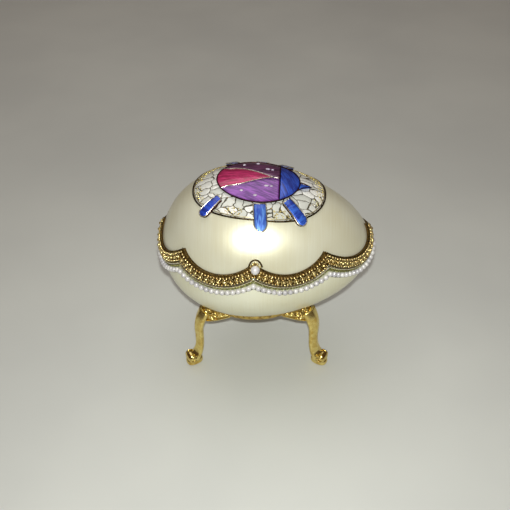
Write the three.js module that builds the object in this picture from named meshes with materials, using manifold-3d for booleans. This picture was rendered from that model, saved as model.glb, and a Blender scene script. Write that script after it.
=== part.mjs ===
// Jewelled goose-egg trinket box on a three-legged gilt stand.
// Sizes are in millimetres, +Z is up and +X runs along the egg to its pointed end.
// The bowl and the lid are the two parts of one blown shell, parted along a scalloped line.

import * as THREE from 'three';
import Module from 'manifold-3d';
import { LoftGeometry } from 'three/addons/geometries/LoftGeometry.js';
import { mergeVertices } from 'three/addons/utils/BufferGeometryUtils.js';

// The blown egg, lying on its side: radius(x) = EGG_RADIUS * sqrt(1 - u^2) * (1 + TAPER u + SWELL u^2)
const EGG_HALF_LENGTH = 43;
const EGG_RADIUS = 30.9;
const TAPER = -0.15;
const SWELL = 0.02;
const EGG_CENTRE_Z = 55.5;
const WALL = 1.2;
const DECOR_X = -3.4;

// The trim band follows eight scallops; heights are above the egg's centre line.
const SCALLOPS = 8;
const PLAN_SQUASH = 0.8;
const BAND_LOW = -2.3;
const BAND_SPAN = 9.8;
const RISE_LOW = 4.2;
const RISE_HIGH = 5.9;
const END_DROP = 1.4;
const SEAM_AT = 0.38;
const SEAM_GAP = 0.3;
const FIT_GAP = 0.3;
const SHELL_STATIONS = 48;
const TRIM_STATIONS = 64;

// Pearl trim of the bowl and the single pearl at the front.
const PEARL_COUNT = 120;
const PEARL_RADIUS = 1.1;
const PEARL_NECK = 0.45;
const PEARL_SIDES = 5;
const PEARLS_AT = 0.17;
const CLASP_RADIUS = 1.5;
const CLASP_AT = 0.72;

// The inlaid panel on the lid.
const PANEL_X = -2.7;
const PANEL_HALF_LENGTH = 26.2;
const PANEL_HALF_WIDTH = 19.5;
const PANEL_POWER = 2.3;
const PANEL_THICK = 0.5;
const PANEL_STATIONS = 36;
const PANEL_RIM = 1.0;
const PANEL_RIM_HEIGHT = 0.9;
const BEETLE_X = -3;
const BEETLE_Y = -0.8;
const BEETLE_HALF_LENGTH = 16.2;
const BEETLE_HALF_WIDTH = 12.9;
const BEETLE_LIFT = 1.5;
const ENAMEL_THICK = 0.8;
const WIRE_GAP = 0.4;
const HEAD_LINE_X = 5.1;
const WEDGE_TIP_X = 2.6;
const WEDGE_SLOPE = 0.36;
const WING_START = -13.3;
const SNOUT_LENGTH = 4.6;
const SNOUT_HALF_WIDTH = 2.4;

// The gilt stand: a collar that follows the egg, with three knees, legs and scrolled feet.
const STAND_X = -4.2;
const STAND_TWIST = 2.6;
const LEG_AZIMUTHS = [90, 210, 330];
const COLLAR_RADIUS = 20;
const COLLAR_STATIONS = 72;
const COLLAR_THICK = 1.8;
const COLLAR_DEPTH = 1.2;
const KNEE_REACH = 6.3;
const KNEE_DEPTH = 8.8;
const KNEE_SPREAD = 34;
const LEG_SIDES = 10;
const LEG_THICK = 3.3;
const LEG_WIDTH = 4;
const TOE_RADIUS = 3.3;
const TOE_REACH = 33.1;
const TOE_WIDTH = 5.4;

const CREAM = new THREE.MeshStandardMaterial({ color: 0xe8e4d2, roughness: 0.28, metalness: 0.05 });
const GOLD = new THREE.MeshStandardMaterial({ color: 0xc9a24a, roughness: 0.22, metalness: 1 });
const OLD_GOLD = new THREE.MeshStandardMaterial({ color: 0xa07c32, roughness: 0.35, metalness: 1 });
const SILVER = new THREE.MeshStandardMaterial({ color: 0xd8d6cc, roughness: 0.2, metalness: 1 });
const PEARL = new THREE.MeshStandardMaterial({ color: 0xeceae4, roughness: 0.2, metalness: 0.05 });
const MOSAIC = new THREE.MeshStandardMaterial({ color: 0xd9d9d2, roughness: 0.35, metalness: 0.3 });
const DARK_WIRE = new THREE.MeshStandardMaterial({ color: 0x2e2618, roughness: 0.4, metalness: 0.8 });
const CRIMSON = new THREE.MeshStandardMaterial({ color: 0xb02a62, roughness: 0.2, metalness: 0.1 });
const PURPLE = new THREE.MeshStandardMaterial({ color: 0x6d3a82, roughness: 0.2, metalness: 0.1 });
const PLUM = new THREE.MeshStandardMaterial({ color: 0x573650, roughness: 0.2, metalness: 0.1 });
const BLUE = new THREE.MeshStandardMaterial({ color: 0x2545a4, roughness: 0.2, metalness: 0.1 });

const wasm = await Module();
wasm.setup();

const group = new THREE.Group();
const egg = new THREE.Group();
egg.position.z = EGG_CENTRE_Z;
group.add(egg);

// ---- solids ----

// A mesh geometry holding only merged positions, with its faces turned outwards.
function closed(geometry) {
  const bare = new THREE.BufferGeometry();
  bare.setAttribute('position', geometry.getAttribute('position'));
  bare.setIndex(geometry.index);
  const merged = mergeVertices(bare, 1e-4);
  const position = merged.getAttribute('position');
  const index = [];
  for (let i = 0; i < merged.index.count; i += 3) {
    const corners = [0, 1, 2].map((k) => merged.index.getX(i + k));
    if (new Set(corners).size === 3) index.push(...corners);
  }
  const a = new THREE.Vector3();
  const b = new THREE.Vector3();
  const c = new THREE.Vector3();
  let volume = 0;
  for (let i = 0; i < index.length; i += 3) {
    a.fromBufferAttribute(position, index[i]);
    b.fromBufferAttribute(position, index[i + 1]);
    c.fromBufferAttribute(position, index[i + 2]);
    volume += a.dot(b.cross(c));
  }
  if (volume < 0) {
    for (let i = 0; i < index.length; i += 3) {
      [index[i + 1], index[i + 2]] = [index[i + 2], index[i + 1]];
    }
  }
  merged.setIndex(index);
  return merged;
}

// A row as long as the given one, with every point at its middle.
function gathered(row) {
  const centre = row.reduce((sum, point) => sum.add(point), new THREE.Vector3());
  return row.map(() => centre.clone().divideScalar(row.length));
}

// A skin over rows of points; a ring closes on its first row, a bar draws in to a point at each end.
function loft(lines, isRing) {
  const last = lines[lines.length - 1];
  const sections = isRing ? [...lines, lines[0]] : [gathered(lines[0]), ...lines, gathered(last)];
  return closed(new LoftGeometry(sections));
}

function toSolid(geometry) {
  const bare = closed(geometry);
  return new wasm.Manifold(
    new wasm.Mesh({
      numProp: 3,
      vertProperties: new Float32Array(bare.getAttribute('position').array),
      triVerts: new Uint32Array(bare.index.array),
    }),
  );
}

function fromSolid(solid) {
  const mesh = solid.getMesh();
  const geometry = new THREE.BufferGeometry();
  geometry.setAttribute('position', new THREE.BufferAttribute(mesh.vertProperties, mesh.numProp));
  geometry.setIndex(new THREE.BufferAttribute(mesh.triVerts, 1));
  return geometry;
}

function addMesh(parent, name, geometry, material) {
  geometry.computeVertexNormals();
  const mesh = new THREE.Mesh(geometry, material);
  mesh.name = name;
  parent.add(mesh);
  return mesh;
}

function rows(count, each, row) {
  return Array.from({ length: count }, (_, i) => Array.from({ length: each }, (_, j) => row(i, j)));
}

// ---- the egg's surface ----

// Radius of the egg grown outwards by `grow`, at distance x along its axis.
function eggRadius(x, grow) {
  const u = THREE.MathUtils.clamp(x / (EGG_HALF_LENGTH + grow), -1, 1);
  return (EGG_RADIUS + grow) * Math.sqrt(1 - u * u) * (1 + TAPER * u + SWELL * u * u);
}

// Distance from an inner point to the grown egg along a direction, by halving the interval.
function reach(from, direction, grow) {
  let near = 0;
  let far = 2 * EGG_HALF_LENGTH;
  const probe = new THREE.Vector3();
  for (let step = 0; step < 40; step += 1) {
    const middle = (near + far) / 2;
    probe.copy(direction).multiplyScalar(middle).add(from);
    const isInside = Math.hypot(probe.y, probe.z) < eggRadius(probe.x, grow);
    near = isInside ? middle : near;
    far = isInside ? far : middle;
  }
  return near;
}

// The scalloped line: `turn` runs round the plan, `share` from the pearls' foot to the braid's top.
function bandPlace(turn, share, grow) {
  const phase = (turn * SCALLOPS) / (2 * Math.PI);
  const q = 2 * (phase - Math.floor(phase + 1e-9)) - 1;
  const rise = THREE.MathUtils.lerp(RISE_LOW, RISE_HIGH, share) * q * q;
  const z = BAND_LOW + share * BAND_SPAN + rise - END_DROP * Math.cos(turn) ** 2;
  const direction = new THREE.Vector3(Math.cos(turn), PLAN_SQUASH * Math.sin(turn), 0).normalize();
  const from = new THREE.Vector3(DECOR_X, 0, z);
  return direction.multiplyScalar(reach(from, direction, grow)).add(from);
}

// A band round the egg whose section is a list of [share, grow] corners.
function band(section) {
  const turn = (i) => (2 * Math.PI * i) / TRIM_STATIONS;
  return loft(rows(TRIM_STATIONS, section.length, (i, j) => bandPlace(turn(i), ...section[j])), true);
}

// Place on the top of the egg above plan point (x, y), raised by `grow` along the surface normal.
function topPlace(x, y, grow) {
  const radius = eggRadius(x, 0);
  const slope = (eggRadius(x + 0.1, 0) - eggRadius(x - 0.1, 0)) / 0.2;
  const z = Math.sqrt(Math.max(radius * radius - y * y, 0));
  const normal = new THREE.Vector3(-slope, y / radius, z / radius).normalize();
  return normal.multiplyScalar(grow).add(new THREE.Vector3(x, y, z));
}

// ---- bowl and lid ----

// One part of the shell, from its scalloped rim (up = 1 for the lid) to its pole, with a wall.
function shell(up, outerRings, innerRings) {
  const seamShift = (up * SEAM_GAP) / 2;
  const centre = new THREE.Vector3(DECOR_X, 0, 0);
  const place = (turn, fraction, grow) => {
    const rim = bandPlace(turn, SEAM_AT, 0);
    rim.z += seamShift;
    const direction = rim.sub(centre);
    const start = Math.atan2(direction.z, Math.hypot(direction.x, direction.y));
    const end = (up * Math.PI) / 2;
    const tilt = THREE.MathUtils.lerp(start, end, fraction);
    const flat = new THREE.Vector3(direction.x, direction.y, 0).normalize();
    const along = flat.multiplyScalar(Math.cos(tilt)).setZ(Math.sin(tilt));
    return along.clone().multiplyScalar(reach(centre, along, grow)).add(centre);
  };
  const levels = [];
  for (let i = outerRings; i >= 0; i -= 1) levels.push([i / outerRings, 0]);
  for (let i = 0; i <= innerRings; i += 1) levels.push([i / innerRings, -WALL]);
  const turn = (j) => (2 * Math.PI * j) / SHELL_STATIONS;
  return loft(rows(levels.length, SHELL_STATIONS, (i, j) => place(turn(j), ...levels[i])), false);
}

addMesh(egg, 'bowl', shell(-1, 7, 5), CREAM);
addMesh(egg, 'lid', shell(1, 7, 5), CREAM);

// ---- trim ----

const braidSection = [
  [0.48, FIT_GAP],
  [0.48, 1.5],
  [0.72, 2],
  [0.96, 1.3],
  [0.99, FIT_GAP],
];
addMesh(egg, 'gold_braid', band(braidSection), OLD_GOLD);

const wireSection = [
  [0.4, FIT_GAP],
  [0.4, 1.3],
  [0.445, 1.3],
  [0.445, FIT_GAP],
];
addMesh(egg, 'lid_rim_wire', band(wireSection), SILVER);

const cordSection = [
  [0.31, FIT_GAP],
  [0.31, 1.2],
  [0.36, 1.2],
  [0.36, FIT_GAP],
];
addMesh(egg, 'bowl_cord', band(cordSection), OLD_GOLD);

// Pearls fused in a string: full sections alternate with necks, evenly spaced along the line.
function pearlString() {
  const fine = PEARL_COUNT * 8;
  const line = Array.from({ length: fine }, (_, i) => (
    bandPlace((2 * Math.PI * i) / fine, PEARLS_AT, FIT_GAP + PEARL_RADIUS)
  ));
  const path = new THREE.CurvePath();
  line.forEach((point, i) => path.add(new THREE.LineCurve3(point, line[(i + 1) % fine])));
  const spots = path.getSpacedPoints(2 * PEARL_COUNT).slice(0, 2 * PEARL_COUNT);
  const middle = new THREE.Vector3(DECOR_X, 0, 0);
  const ring = (i, j) => {
    const count = spots.length;
    const along = spots[(i + 1) % count].clone().sub(spots[(i + count - 1) % count]).normalize();
    const out = spots[i].clone().sub(middle).setZ(0).normalize();
    const across = new THREE.Vector3().crossVectors(along, out).normalize();
    const angle = (2 * Math.PI * j) / PEARL_SIDES;
    const radius = i % 2 ? PEARL_NECK : PEARL_RADIUS;
    const side = across.multiplyScalar(Math.cos(angle) * radius);
    return side.addScaledVector(out, Math.sin(angle) * radius).add(spots[i]);
  };
  return loft(rows(spots.length, PEARL_SIDES, ring), true);
}
addMesh(egg, 'pearl_string', pearlString(), PEARL);

const clasp = addMesh(egg, 'front_pearl', closed(new THREE.SphereGeometry(CLASP_RADIUS, 12, 8)), PEARL);
clasp.position.copy(bandPlace(-Math.PI / 2, CLASP_AT, 2 + FIT_GAP + CLASP_RADIUS));

// ---- panel ----

// Outline of the panel drawn in by `inset`, at `angle` round it.
function panelEdge(angle, inset, fraction) {
  const c = Math.cos(angle);
  const s = Math.sin(angle);
  const a = PANEL_HALF_LENGTH - inset;
  const b = PANEL_HALF_WIDTH - inset;
  const radius = (Math.abs(c / a) ** PANEL_POWER + Math.abs(s / b) ** PANEL_POWER) ** (-1 / PANEL_POWER);
  return [PANEL_X + fraction * radius * c, fraction * radius * s];
}

// A thin slab on top of the egg; both faces close in to their middle.
function panelGround() {
  const inset = PANEL_RIM + FIT_GAP;
  const fractions = [0, 0.27, 0.52, 0.77, 1];
  const under = fractions.map((fraction) => [fraction, FIT_GAP]);
  const over = fractions.map((fraction) => [fraction, FIT_GAP + PANEL_THICK]).reverse();
  const levels = [...under, ...over];
  const angle = (j) => (2 * Math.PI * j) / PANEL_STATIONS;
  const place = (i, j) => topPlace(...panelEdge(angle(j), inset, levels[i][0]), levels[i][1]);
  return loft(rows(levels.length, PANEL_STATIONS, place), false);
}
addMesh(egg, 'panel_ground', panelGround(), MOSAIC);

function panelRim() {
  const corners = [
    [PANEL_RIM, FIT_GAP],
    [PANEL_RIM, PANEL_RIM_HEIGHT],
    [PANEL_RIM / 2, PANEL_RIM_HEIGHT + 0.2],
    [0, FIT_GAP],
  ];
  const angle = (i) => (2 * Math.PI * i) / SHELL_STATIONS;
  const place = (i, j) => topPlace(...panelEdge(angle(i), corners[j][0], 1), corners[j][1]);
  return loft(rows(SHELL_STATIONS, corners.length, place), true);
}
addMesh(egg, 'panel_rim', panelRim(), DARK_WIRE);

// ---- beetle ----

// An enamel slab lofted along x between two edges, with `across` steps over the egg's curve.
function enamel(start, end, steps, across, low, high) {
  const place = (i, j) => {
    const x = THREE.MathUtils.lerp(start, end, i / (steps - 1));
    const isTop = j > across;
    const share = isTop ? (2 * across + 1 - j) / across : j / across;
    const y = THREE.MathUtils.lerp(low(x), high(x), share);
    return topPlace(BEETLE_X + x, BEETLE_Y + y, BEETLE_LIFT + (isTop ? ENAMEL_THICK : 0));
  };
  return loft(rows(steps, 2 * across + 2, place), false);
}

// Half widths of the beetle's body and of the crimson wedge down its back, at distance x.
const headLine = HEAD_LINE_X - BEETLE_X;
const wedgeTip = WEDGE_TIP_X - BEETLE_X;
const halfGap = WIRE_GAP / 2;
const bodyHalf = (x) => BEETLE_HALF_WIDTH * Math.sqrt(Math.max(1 - (x / BEETLE_HALF_LENGTH) ** 2, 0));
const wedgeHalf = (x) => Math.max((wedgeTip - x) * WEDGE_SLOPE, 0);
const wedgeSide = (x) => Math.min(bodyHalf(x), wedgeHalf(x) - halfGap) - 0.1;
const wingInside = (x) => Math.min(wedgeHalf(x) + halfGap, bodyHalf(x) - 0.2);

const tailEnd = -BEETLE_HALF_LENGTH + 0.25;
const wedge = enamel(tailEnd, wedgeTip - 1, 7, 4, (x) => -wedgeSide(x), wedgeSide);
addMesh(egg, 'back_wedge', wedge, CRIMSON);

const wingEnd = headLine - halfGap;
const nearWing = enamel(WING_START, wingEnd, 7, 3, (x) => -bodyHalf(x), (x) => -wingInside(x));
addMesh(egg, 'wing_case_near', nearWing, PURPLE);
addMesh(egg, 'wing_case_far', enamel(WING_START, wingEnd, 7, 3, wingInside, bodyHalf), PLUM);

const headEnd = BEETLE_HALF_LENGTH - 0.3;
const head = enamel(headLine + halfGap, headEnd, 6, 4, (x) => -bodyHalf(x), bodyHalf);
addMesh(egg, 'head', head, BLUE);

const snoutHalf = (x) => SNOUT_HALF_WIDTH * (1 - (x - headEnd) / (SNOUT_LENGTH + 0.5));
const snout = enamel(headEnd + WIRE_GAP, headEnd + SNOUT_LENGTH, 2, 1, (x) => -snoutHalf(x), snoutHalf);
addMesh(egg, 'snout', snout, BLUE);

// The beetle's legs on the near side: root and tip in its own plan, with half widths at both.
const LIMBS = [
  { name: 'rear', root: [-14, -10], tip: [-20.8, -15.8], half: [1.5, 1.9] },
  { name: 'middle', root: [1.1, -13.6], tip: [1.8, -22.4], half: [2.3, 2.4] },
  { name: 'front', root: [10.9, -10.6], tip: [17, -17.3], half: [1.8, 2.1] },
];

// Share of a leg's length and how much of its width is filled there: the tip is rounded off.
const LIMB_FILL = [
  [0, 1],
  [0.3, 1],
  [0.6, 1],
  [0.87, 1],
  [1, 0.5],
];

function limb({ root, tip, half }, mirror) {
  const start = new THREE.Vector2(root[0], root[1] * mirror);
  const end = new THREE.Vector2(tip[0], tip[1] * mirror);
  const along = end.clone().sub(start).normalize();
  start.addScaledVector(along, WIRE_GAP);
  const side = new THREE.Vector2(-along.y, along.x);
  const place = (i, j) => {
    const [share, fill] = LIMB_FILL[i];
    const width = THREE.MathUtils.lerp(half[0], half[1], share) * fill;
    const isTop = j > 2;
    const cross = isTop ? 4 - j : j - 1;
    const spot = start.clone().lerp(end, share).addScaledVector(side, cross * width);
    const lift = BEETLE_LIFT + (isTop ? ENAMEL_THICK : 0);
    return topPlace(BEETLE_X + spot.x, BEETLE_Y + spot.y, lift);
  };
  return loft(rows(LIMB_FILL.length, 6, place), false);
}

for (const [side, mirror] of Object.entries({ near: 1, far: -1 })) {
  for (const spec of LIMBS) addMesh(egg, `leg_${spec.name}_${side}`, limb(spec, mirror), BLUE);
}

// ---- stand ----

const stand = new THREE.Group();
stand.rotation.z = THREE.MathUtils.degToRad(STAND_TWIST);
stand.position.x = STAND_X;
group.add(stand);

// Height of the egg's underside above the floor at a plan point given in the stand's own frame.
function undersideHeight(x, y) {
  const turned = new THREE.Vector2(x, y).rotateAround(new THREE.Vector2(), stand.rotation.z);
  const radius = eggRadius(turned.x + STAND_X, FIT_GAP);
  return EGG_CENTRE_Z - Math.sqrt(Math.max(radius * radius - turned.y * turned.y, 0));
}

// How strongly a knee swells the collar at an azimuth, from 0 between legs to 1 at a leg.
function kneeSwell(azimuth) {
  const nearest = LEG_AZIMUTHS.map((leg) => Math.abs(((azimuth - leg + 540) % 360) - 180));
  const share = THREE.MathUtils.clamp(1 - Math.min(...nearest) / KNEE_SPREAD, 0, 1);
  return share * share * (3 - 2 * share) * 0.45 + share * 0.55;
}

function collar() {
  const place = (i, j) => {
    const azimuth = (360 * i) / COLLAR_STATIONS;
    const swell = kneeSwell(azimuth);
    const outer = COLLAR_RADIUS + KNEE_REACH * swell;
    const inner = outer - COLLAR_THICK - 1.6 * swell;
    const at = (radius, drop) => {
      const angle = THREE.MathUtils.degToRad(azimuth);
      const x = radius * Math.cos(angle);
      const y = radius * Math.sin(angle);
      return new THREE.Vector3(x, y, undersideHeight(x, y) - drop);
    };
    const depth = COLLAR_DEPTH + KNEE_DEPTH * swell;
    const corners = [
      [outer, 0.15],
      [outer + 1.4 * swell, (COLLAR_DEPTH + depth) / 2 - 0.4],
      [outer - 0.5 + 1.7 * swell, depth],
      [inner, COLLAR_DEPTH - 0.3 + (depth - COLLAR_DEPTH) * 0.7],
      [inner, 0],
    ];
    return at(...corners[j]);
  };
  return loft(rows(COLLAR_STATIONS, 5, place), true);
}

// Centre line of a leg in its own upright plane: distance from the axis, height, width, thickness.
const LEG_LINE = [
  [25.6, 28.5, 1.25, 1.1],
  [27.6, 24.6, 1.15, 1.1],
  [28.6, 20.5, 1, 1],
  [28.6, 15.5, 0.95, 0.95],
  [28.8, 10.5, 0.95, 0.95],
  [29.8, 6.6, 1.05, 1.05],
  [31.8, 3.4, 1.2, 1.3],
];

function leg() {
  const spots = LEG_LINE.map(([x, z]) => new THREE.Vector3(x, 0, z));
  const place = (i, j) => {
    const before = spots[Math.max(i - 1, 0)];
    const after = spots[Math.min(i + 1, spots.length - 1)];
    const along = after.clone().sub(before).normalize();
    const out = new THREE.Vector3(-along.z, 0, along.x);
    const angle = (2 * Math.PI * j) / LEG_SIDES;
    const [, , wide, thick] = LEG_LINE[i];
    const spot = spots[i].clone().addScaledVector(out, Math.cos(angle) * (LEG_THICK / 2) * thick);
    spot.y += Math.sin(angle) * (LEG_WIDTH / 2) * wide;
    return spot;
  };
  return loft(rows(spots.length, LEG_SIDES, place), false);
}

// The scrolled toe: a short roll across the leg, cut flat underneath to stand on.
function toe() {
  const roll = new THREE.CylinderGeometry(TOE_RADIUS, TOE_RADIUS, TOE_WIDTH, 16);
  roll.translate(TOE_REACH, 0, TOE_RADIUS - 0.25);
  return roll;
}

function standGeometry() {
  const floorSize = 200;
  const floor = new THREE.BoxGeometry(floorSize, floorSize, floorSize);
  floor.translate(0, 0, -floorSize / 2);
  let whole = toSolid(collar());
  for (const azimuth of LEG_AZIMUTHS) {
    const turn = new THREE.Matrix4().makeRotationZ(THREE.MathUtils.degToRad(azimuth));
    whole = whole.add(toSolid(leg().applyMatrix4(turn)));
    whole = whole.add(toSolid(toe().applyMatrix4(turn)));
  }
  return fromSolid(whole.subtract(toSolid(floor)));
}
addMesh(stand, 'stand', standGeometry(), GOLD);

// The frame's origin is on the floor below the middle of the whole object.
group.updateMatrixWorld(true);
const middle = new THREE.Box3().setFromObject(group, true).getCenter(new THREE.Vector3());
egg.position.x -= middle.x;
egg.position.y -= middle.y;
stand.position.x -= middle.x;
stand.position.y -= middle.y;

export default group;
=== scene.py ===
"""Looks of the jewelled egg trinket box: surfaces, trim, inlaid beetle, gilt stand, table and light."""

import logging
import math
import random
from dataclasses import dataclass
from enum import Enum
from typing import Any, Callable, Sequence

import bmesh
import bpy
import numpy as np
from mathutils import Matrix, Vector


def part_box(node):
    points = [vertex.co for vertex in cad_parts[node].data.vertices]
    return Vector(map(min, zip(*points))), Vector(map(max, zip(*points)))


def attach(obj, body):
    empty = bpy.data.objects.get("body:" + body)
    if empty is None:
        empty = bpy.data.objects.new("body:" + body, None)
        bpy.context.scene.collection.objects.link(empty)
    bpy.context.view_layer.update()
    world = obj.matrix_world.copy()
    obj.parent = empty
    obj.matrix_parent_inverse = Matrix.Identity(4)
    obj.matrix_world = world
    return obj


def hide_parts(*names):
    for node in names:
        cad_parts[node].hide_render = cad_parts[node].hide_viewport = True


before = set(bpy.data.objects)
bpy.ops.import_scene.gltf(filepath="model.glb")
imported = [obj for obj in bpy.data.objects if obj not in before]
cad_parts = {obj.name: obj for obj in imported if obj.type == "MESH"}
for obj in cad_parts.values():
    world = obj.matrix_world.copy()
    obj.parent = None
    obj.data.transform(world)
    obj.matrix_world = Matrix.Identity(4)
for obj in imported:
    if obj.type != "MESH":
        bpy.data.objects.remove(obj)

LOG = logging.getLogger("egg_box")
MM = 0.001
TAU = 2 * math.pi
Colour = tuple[float, float, float, float]
PlanLine = Callable[[np.ndarray], np.ndarray]
Skin = Callable[[np.ndarray, np.ndarray], np.ndarray]


def rgb(red: float, green: float, blue: float) -> Colour:
    """Turn a display colour of 0 to 255 per channel into a linear shader colour.

    Args:
        red: Red channel.
        green: Green channel.
        blue: Blue channel.

    Returns:
        The linear colour with full alpha.
    """
    parts = [channel / 255 for channel in (red, green, blue)]
    linear = [p / 12.92 if p <= 0.04045 else ((p + 0.055) / 1.055) ** 2.4 for p in parts]
    return (linear[0], linear[1], linear[2], 1.0)


# ---------------------------------------------------------------- shader tools


class Sock:
    """A shader socket that takes part in Python arithmetic."""

    def __init__(self, tree: "FinishTree", socket: bpy.types.NodeSocket) -> None:
        """Keep the socket and the tree that it belongs to."""
        self.tree = tree
        self.socket = socket

    def _math(self, operation: str, *values: Any) -> "Sock":
        """Add a Math node for this operation and return its result."""
        return self.tree.value("ShaderNodeMath", {"operation": operation}, dict(enumerate(values)))

    def __add__(self, other: Any) -> "Sock":
        """Return self + other."""
        return self._math("ADD", self, other)

    def __radd__(self, other: Any) -> "Sock":
        """Return other + self."""
        return self._math("ADD", other, self)

    def __sub__(self, other: Any) -> "Sock":
        """Return self - other."""
        return self._math("SUBTRACT", self, other)

    def __rsub__(self, other: Any) -> "Sock":
        """Return other - self."""
        return self._math("SUBTRACT", other, self)

    def __mul__(self, other: Any) -> "Sock":
        """Return self * other."""
        return self._math("MULTIPLY", self, other)

    def __rmul__(self, other: Any) -> "Sock":
        """Return other * self."""
        return self._math("MULTIPLY", other, self)

    def __pow__(self, other: float) -> "Sock":
        """Return self raised to other."""
        return self._math("POWER", self, other)

    def stepped(self, low: float, high: float) -> "Sock":
        """Return 0 below low, 1 above high, and a smooth step between them."""
        settings = {"interpolation_type": "SMOOTHSTEP"}
        return self.tree.value("ShaderNodeMapRange", settings, {0: self, 1: low, 2: high, 3: 0.0, 4: 1.0})


class FinishTree:
    """The node tree of one material, with short ways to add nodes."""

    def __init__(self, name: str) -> None:
        """Make an empty material with an output node."""
        self.material = bpy.data.materials.new(name)
        self.material.use_nodes = True
        self.nodes = self.material.node_tree.nodes
        self.links = self.material.node_tree.links
        self.nodes.clear()
        self.output = self.nodes.new("ShaderNodeOutputMaterial")

    def node(self, kind: str, settings: dict[str, Any], inputs: dict[Any, Any]) -> bpy.types.Node:
        """Add a node.

        Args:
            kind: The node's type name.
            settings: Attributes set on the node first.
            inputs: Socket names or numbers with their values or links.

        Returns:
            The new node.
        """
        made = self.nodes.new(kind)
        for key, setting in settings.items():
            setattr(made, key, setting)
        for key, given in inputs.items():
            if isinstance(given, Sock):
                self.links.new(given.socket, made.inputs[key])
            else:
                made.inputs[key].default_value = given
        return made

    def value(self, kind: str, settings: dict[str, Any], inputs: dict[Any, Any], output: Any = 0) -> Sock:
        """Add a node and return one of its outputs as a Sock."""
        return Sock(self, self.node(kind, settings, inputs).outputs[output])

    def place(self, scale: tuple[float, float, float] = (1, 1, 1), turn: float = 0.0) -> Sock:
        """Return object coordinates scaled per axis and turned about Z.

        Args:
            scale: Pattern repeats per metre along each axis.
            turn: Turn about Z in radians, before the scaling.

        Returns:
            The coordinates.
        """
        seat = self.value("ShaderNodeTexCoord", {}, {}, "Object")
        if turn:
            seat = self.value("ShaderNodeMapping", {}, {"Vector": seat, "Rotation": (0.0, 0.0, turn)})
        return self.value("ShaderNodeMapping", {}, {"Vector": seat, "Scale": scale})

    def noise(self, where: Sock, scale: float, detail: float = 3.0, distortion: float = 0.0) -> Sock:
        """Return fractal noise from 0 to 1 at a scale in repeats per unit."""
        inputs = {"Vector": where, "Scale": scale, "Detail": detail, "Distortion": distortion}
        return self.value("ShaderNodeTexNoise", {"noise_dimensions": "3D"}, inputs)

    def mix(self, share: Any, low: Any, high: Any) -> Sock:
        """Return a colour mixed from low to high by share."""
        made = self.node("ShaderNodeMix", {"data_type": "RGBA"}, {0: share, 6: low, 7: high})
        return Sock(self, made.outputs[2])

    def bump(self, height: Sock, strength: float, distance: float) -> Sock:
        """Return a normal bent by a height."""
        inputs = {"Height": height, "Strength": strength, "Distance": distance}
        return self.value("ShaderNodeBump", {}, inputs)

    def surface(self, **inputs: Any) -> bpy.types.Material:
        """Finish the tree with a Principled shader.

        Args:
            **inputs: Its sockets, with underscores for spaces.

        Returns:
            The finished material.
        """
        named = {key.replace("_", " "): given for key, given in inputs.items()}
        shader = self.node("ShaderNodeBsdfPrincipled", {}, named)
        self.links.new(shader.outputs[0], self.output.inputs[0])
        return self.material


# ---------------------------------------------------------------- finishes


@dataclass(frozen=True)
class PearlLacquer:
    """Pearl-lustre lacquer brushed over eggshell."""

    name: str = "pearl_lacquer"
    light: Colour = rgb(241, 241, 218)
    deep: Colour = rgb(231, 227, 194)
    stroke_per_m: float = 2600.0
    metallic: float = 0.4

    def make(self) -> bpy.types.Material:
        """Build the material: fine strokes round the egg's girth over a soft cloud of colour."""
        tree = FinishTree(self.name)
        stroke = tree.noise(tree.place((self.stroke_per_m, 60.0, 60.0)), 1.0, 3.0, 0.4)
        cloud = tree.noise(tree.place(), 38.0, 2.0)
        flake = tree.noise(tree.place(), 9000.0, 1.0)
        tone = tree.mix((stroke * 0.3 + cloud * 0.7).stepped(0.3, 0.7), self.deep, self.light)
        rough = 0.3 + stroke * 0.12
        relief = stroke * 0.8 + flake * 0.25
        return tree.surface(
            Base_Color=tone,
            Metallic=self.metallic,
            Roughness=rough,
            Normal=tree.bump(relief, 0.12, 0.00012),
            Coat_Weight=0.35,
            Coat_Roughness=0.24,
        )


@dataclass(frozen=True)
class Gilt:
    """Gold plate over a cast or drawn form, with darker worn places."""

    name: str
    light: Colour = rgb(246, 226, 146)
    deep: Colour = rgb(206, 170, 82)
    roughness: float = 0.16
    grain_per_m: float = 420.0
    relief: float = 0.05

    def make(self) -> bpy.types.Material:
        """Build the material: cloudy plating with faint casting ripples."""
        tree = FinishTree(self.name)
        seat = tree.place()
        cloud = tree.noise(seat, self.grain_per_m, 3.0, 0.6)
        speck = tree.noise(seat, self.grain_per_m * 7, 2.0)
        tone = tree.mix((cloud * 0.7 + speck * 0.3).stepped(0.3, 0.62), self.deep, self.light)
        rough = self.roughness + speck * 0.14
        normal = tree.bump(cloud + speck * 0.4, self.relief, 0.0003)
        return tree.surface(Base_Color=tone, Metallic=1.0, Roughness=rough, Normal=normal)


@dataclass(frozen=True)
class Wire:
    """Drawn wire with fine scratches along no one direction."""

    name: str
    light: Colour
    deep: Colour
    roughness: float = 0.2

    def make(self) -> bpy.types.Material:
        """Build the material."""
        tree = FinishTree(self.name)
        wear = tree.noise(tree.place(), 1500.0, 3.0)
        tone = tree.mix(wear.stepped(0.35, 0.65), self.deep, self.light)
        return tree.surface(Base_Color=tone, Metallic=1.0, Roughness=self.roughness + wear * 0.1)


@dataclass(frozen=True)
class PearlSkin:
    """Imitation pearl: white lustre that turns a little from bead to bead."""

    name: str = "pearl_skin"
    light: Colour = rgb(230, 228, 224)
    deep: Colour = rgb(192, 190, 194)

    def make(self) -> bpy.types.Material:
        """Build the material."""
        tree = FinishTree(self.name)
        drift = tree.noise(tree.place(), 260.0, 1.0)
        tone = tree.mix(drift.stepped(0.3, 0.7), self.deep, self.light)
        rough = 0.2 + drift * 0.12
        return tree.surface(
            Base_Color=tone,
            Metallic=0.12,
            Roughness=rough,
            Coat_Weight=0.7,
            Coat_Roughness=0.08,
        )


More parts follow.
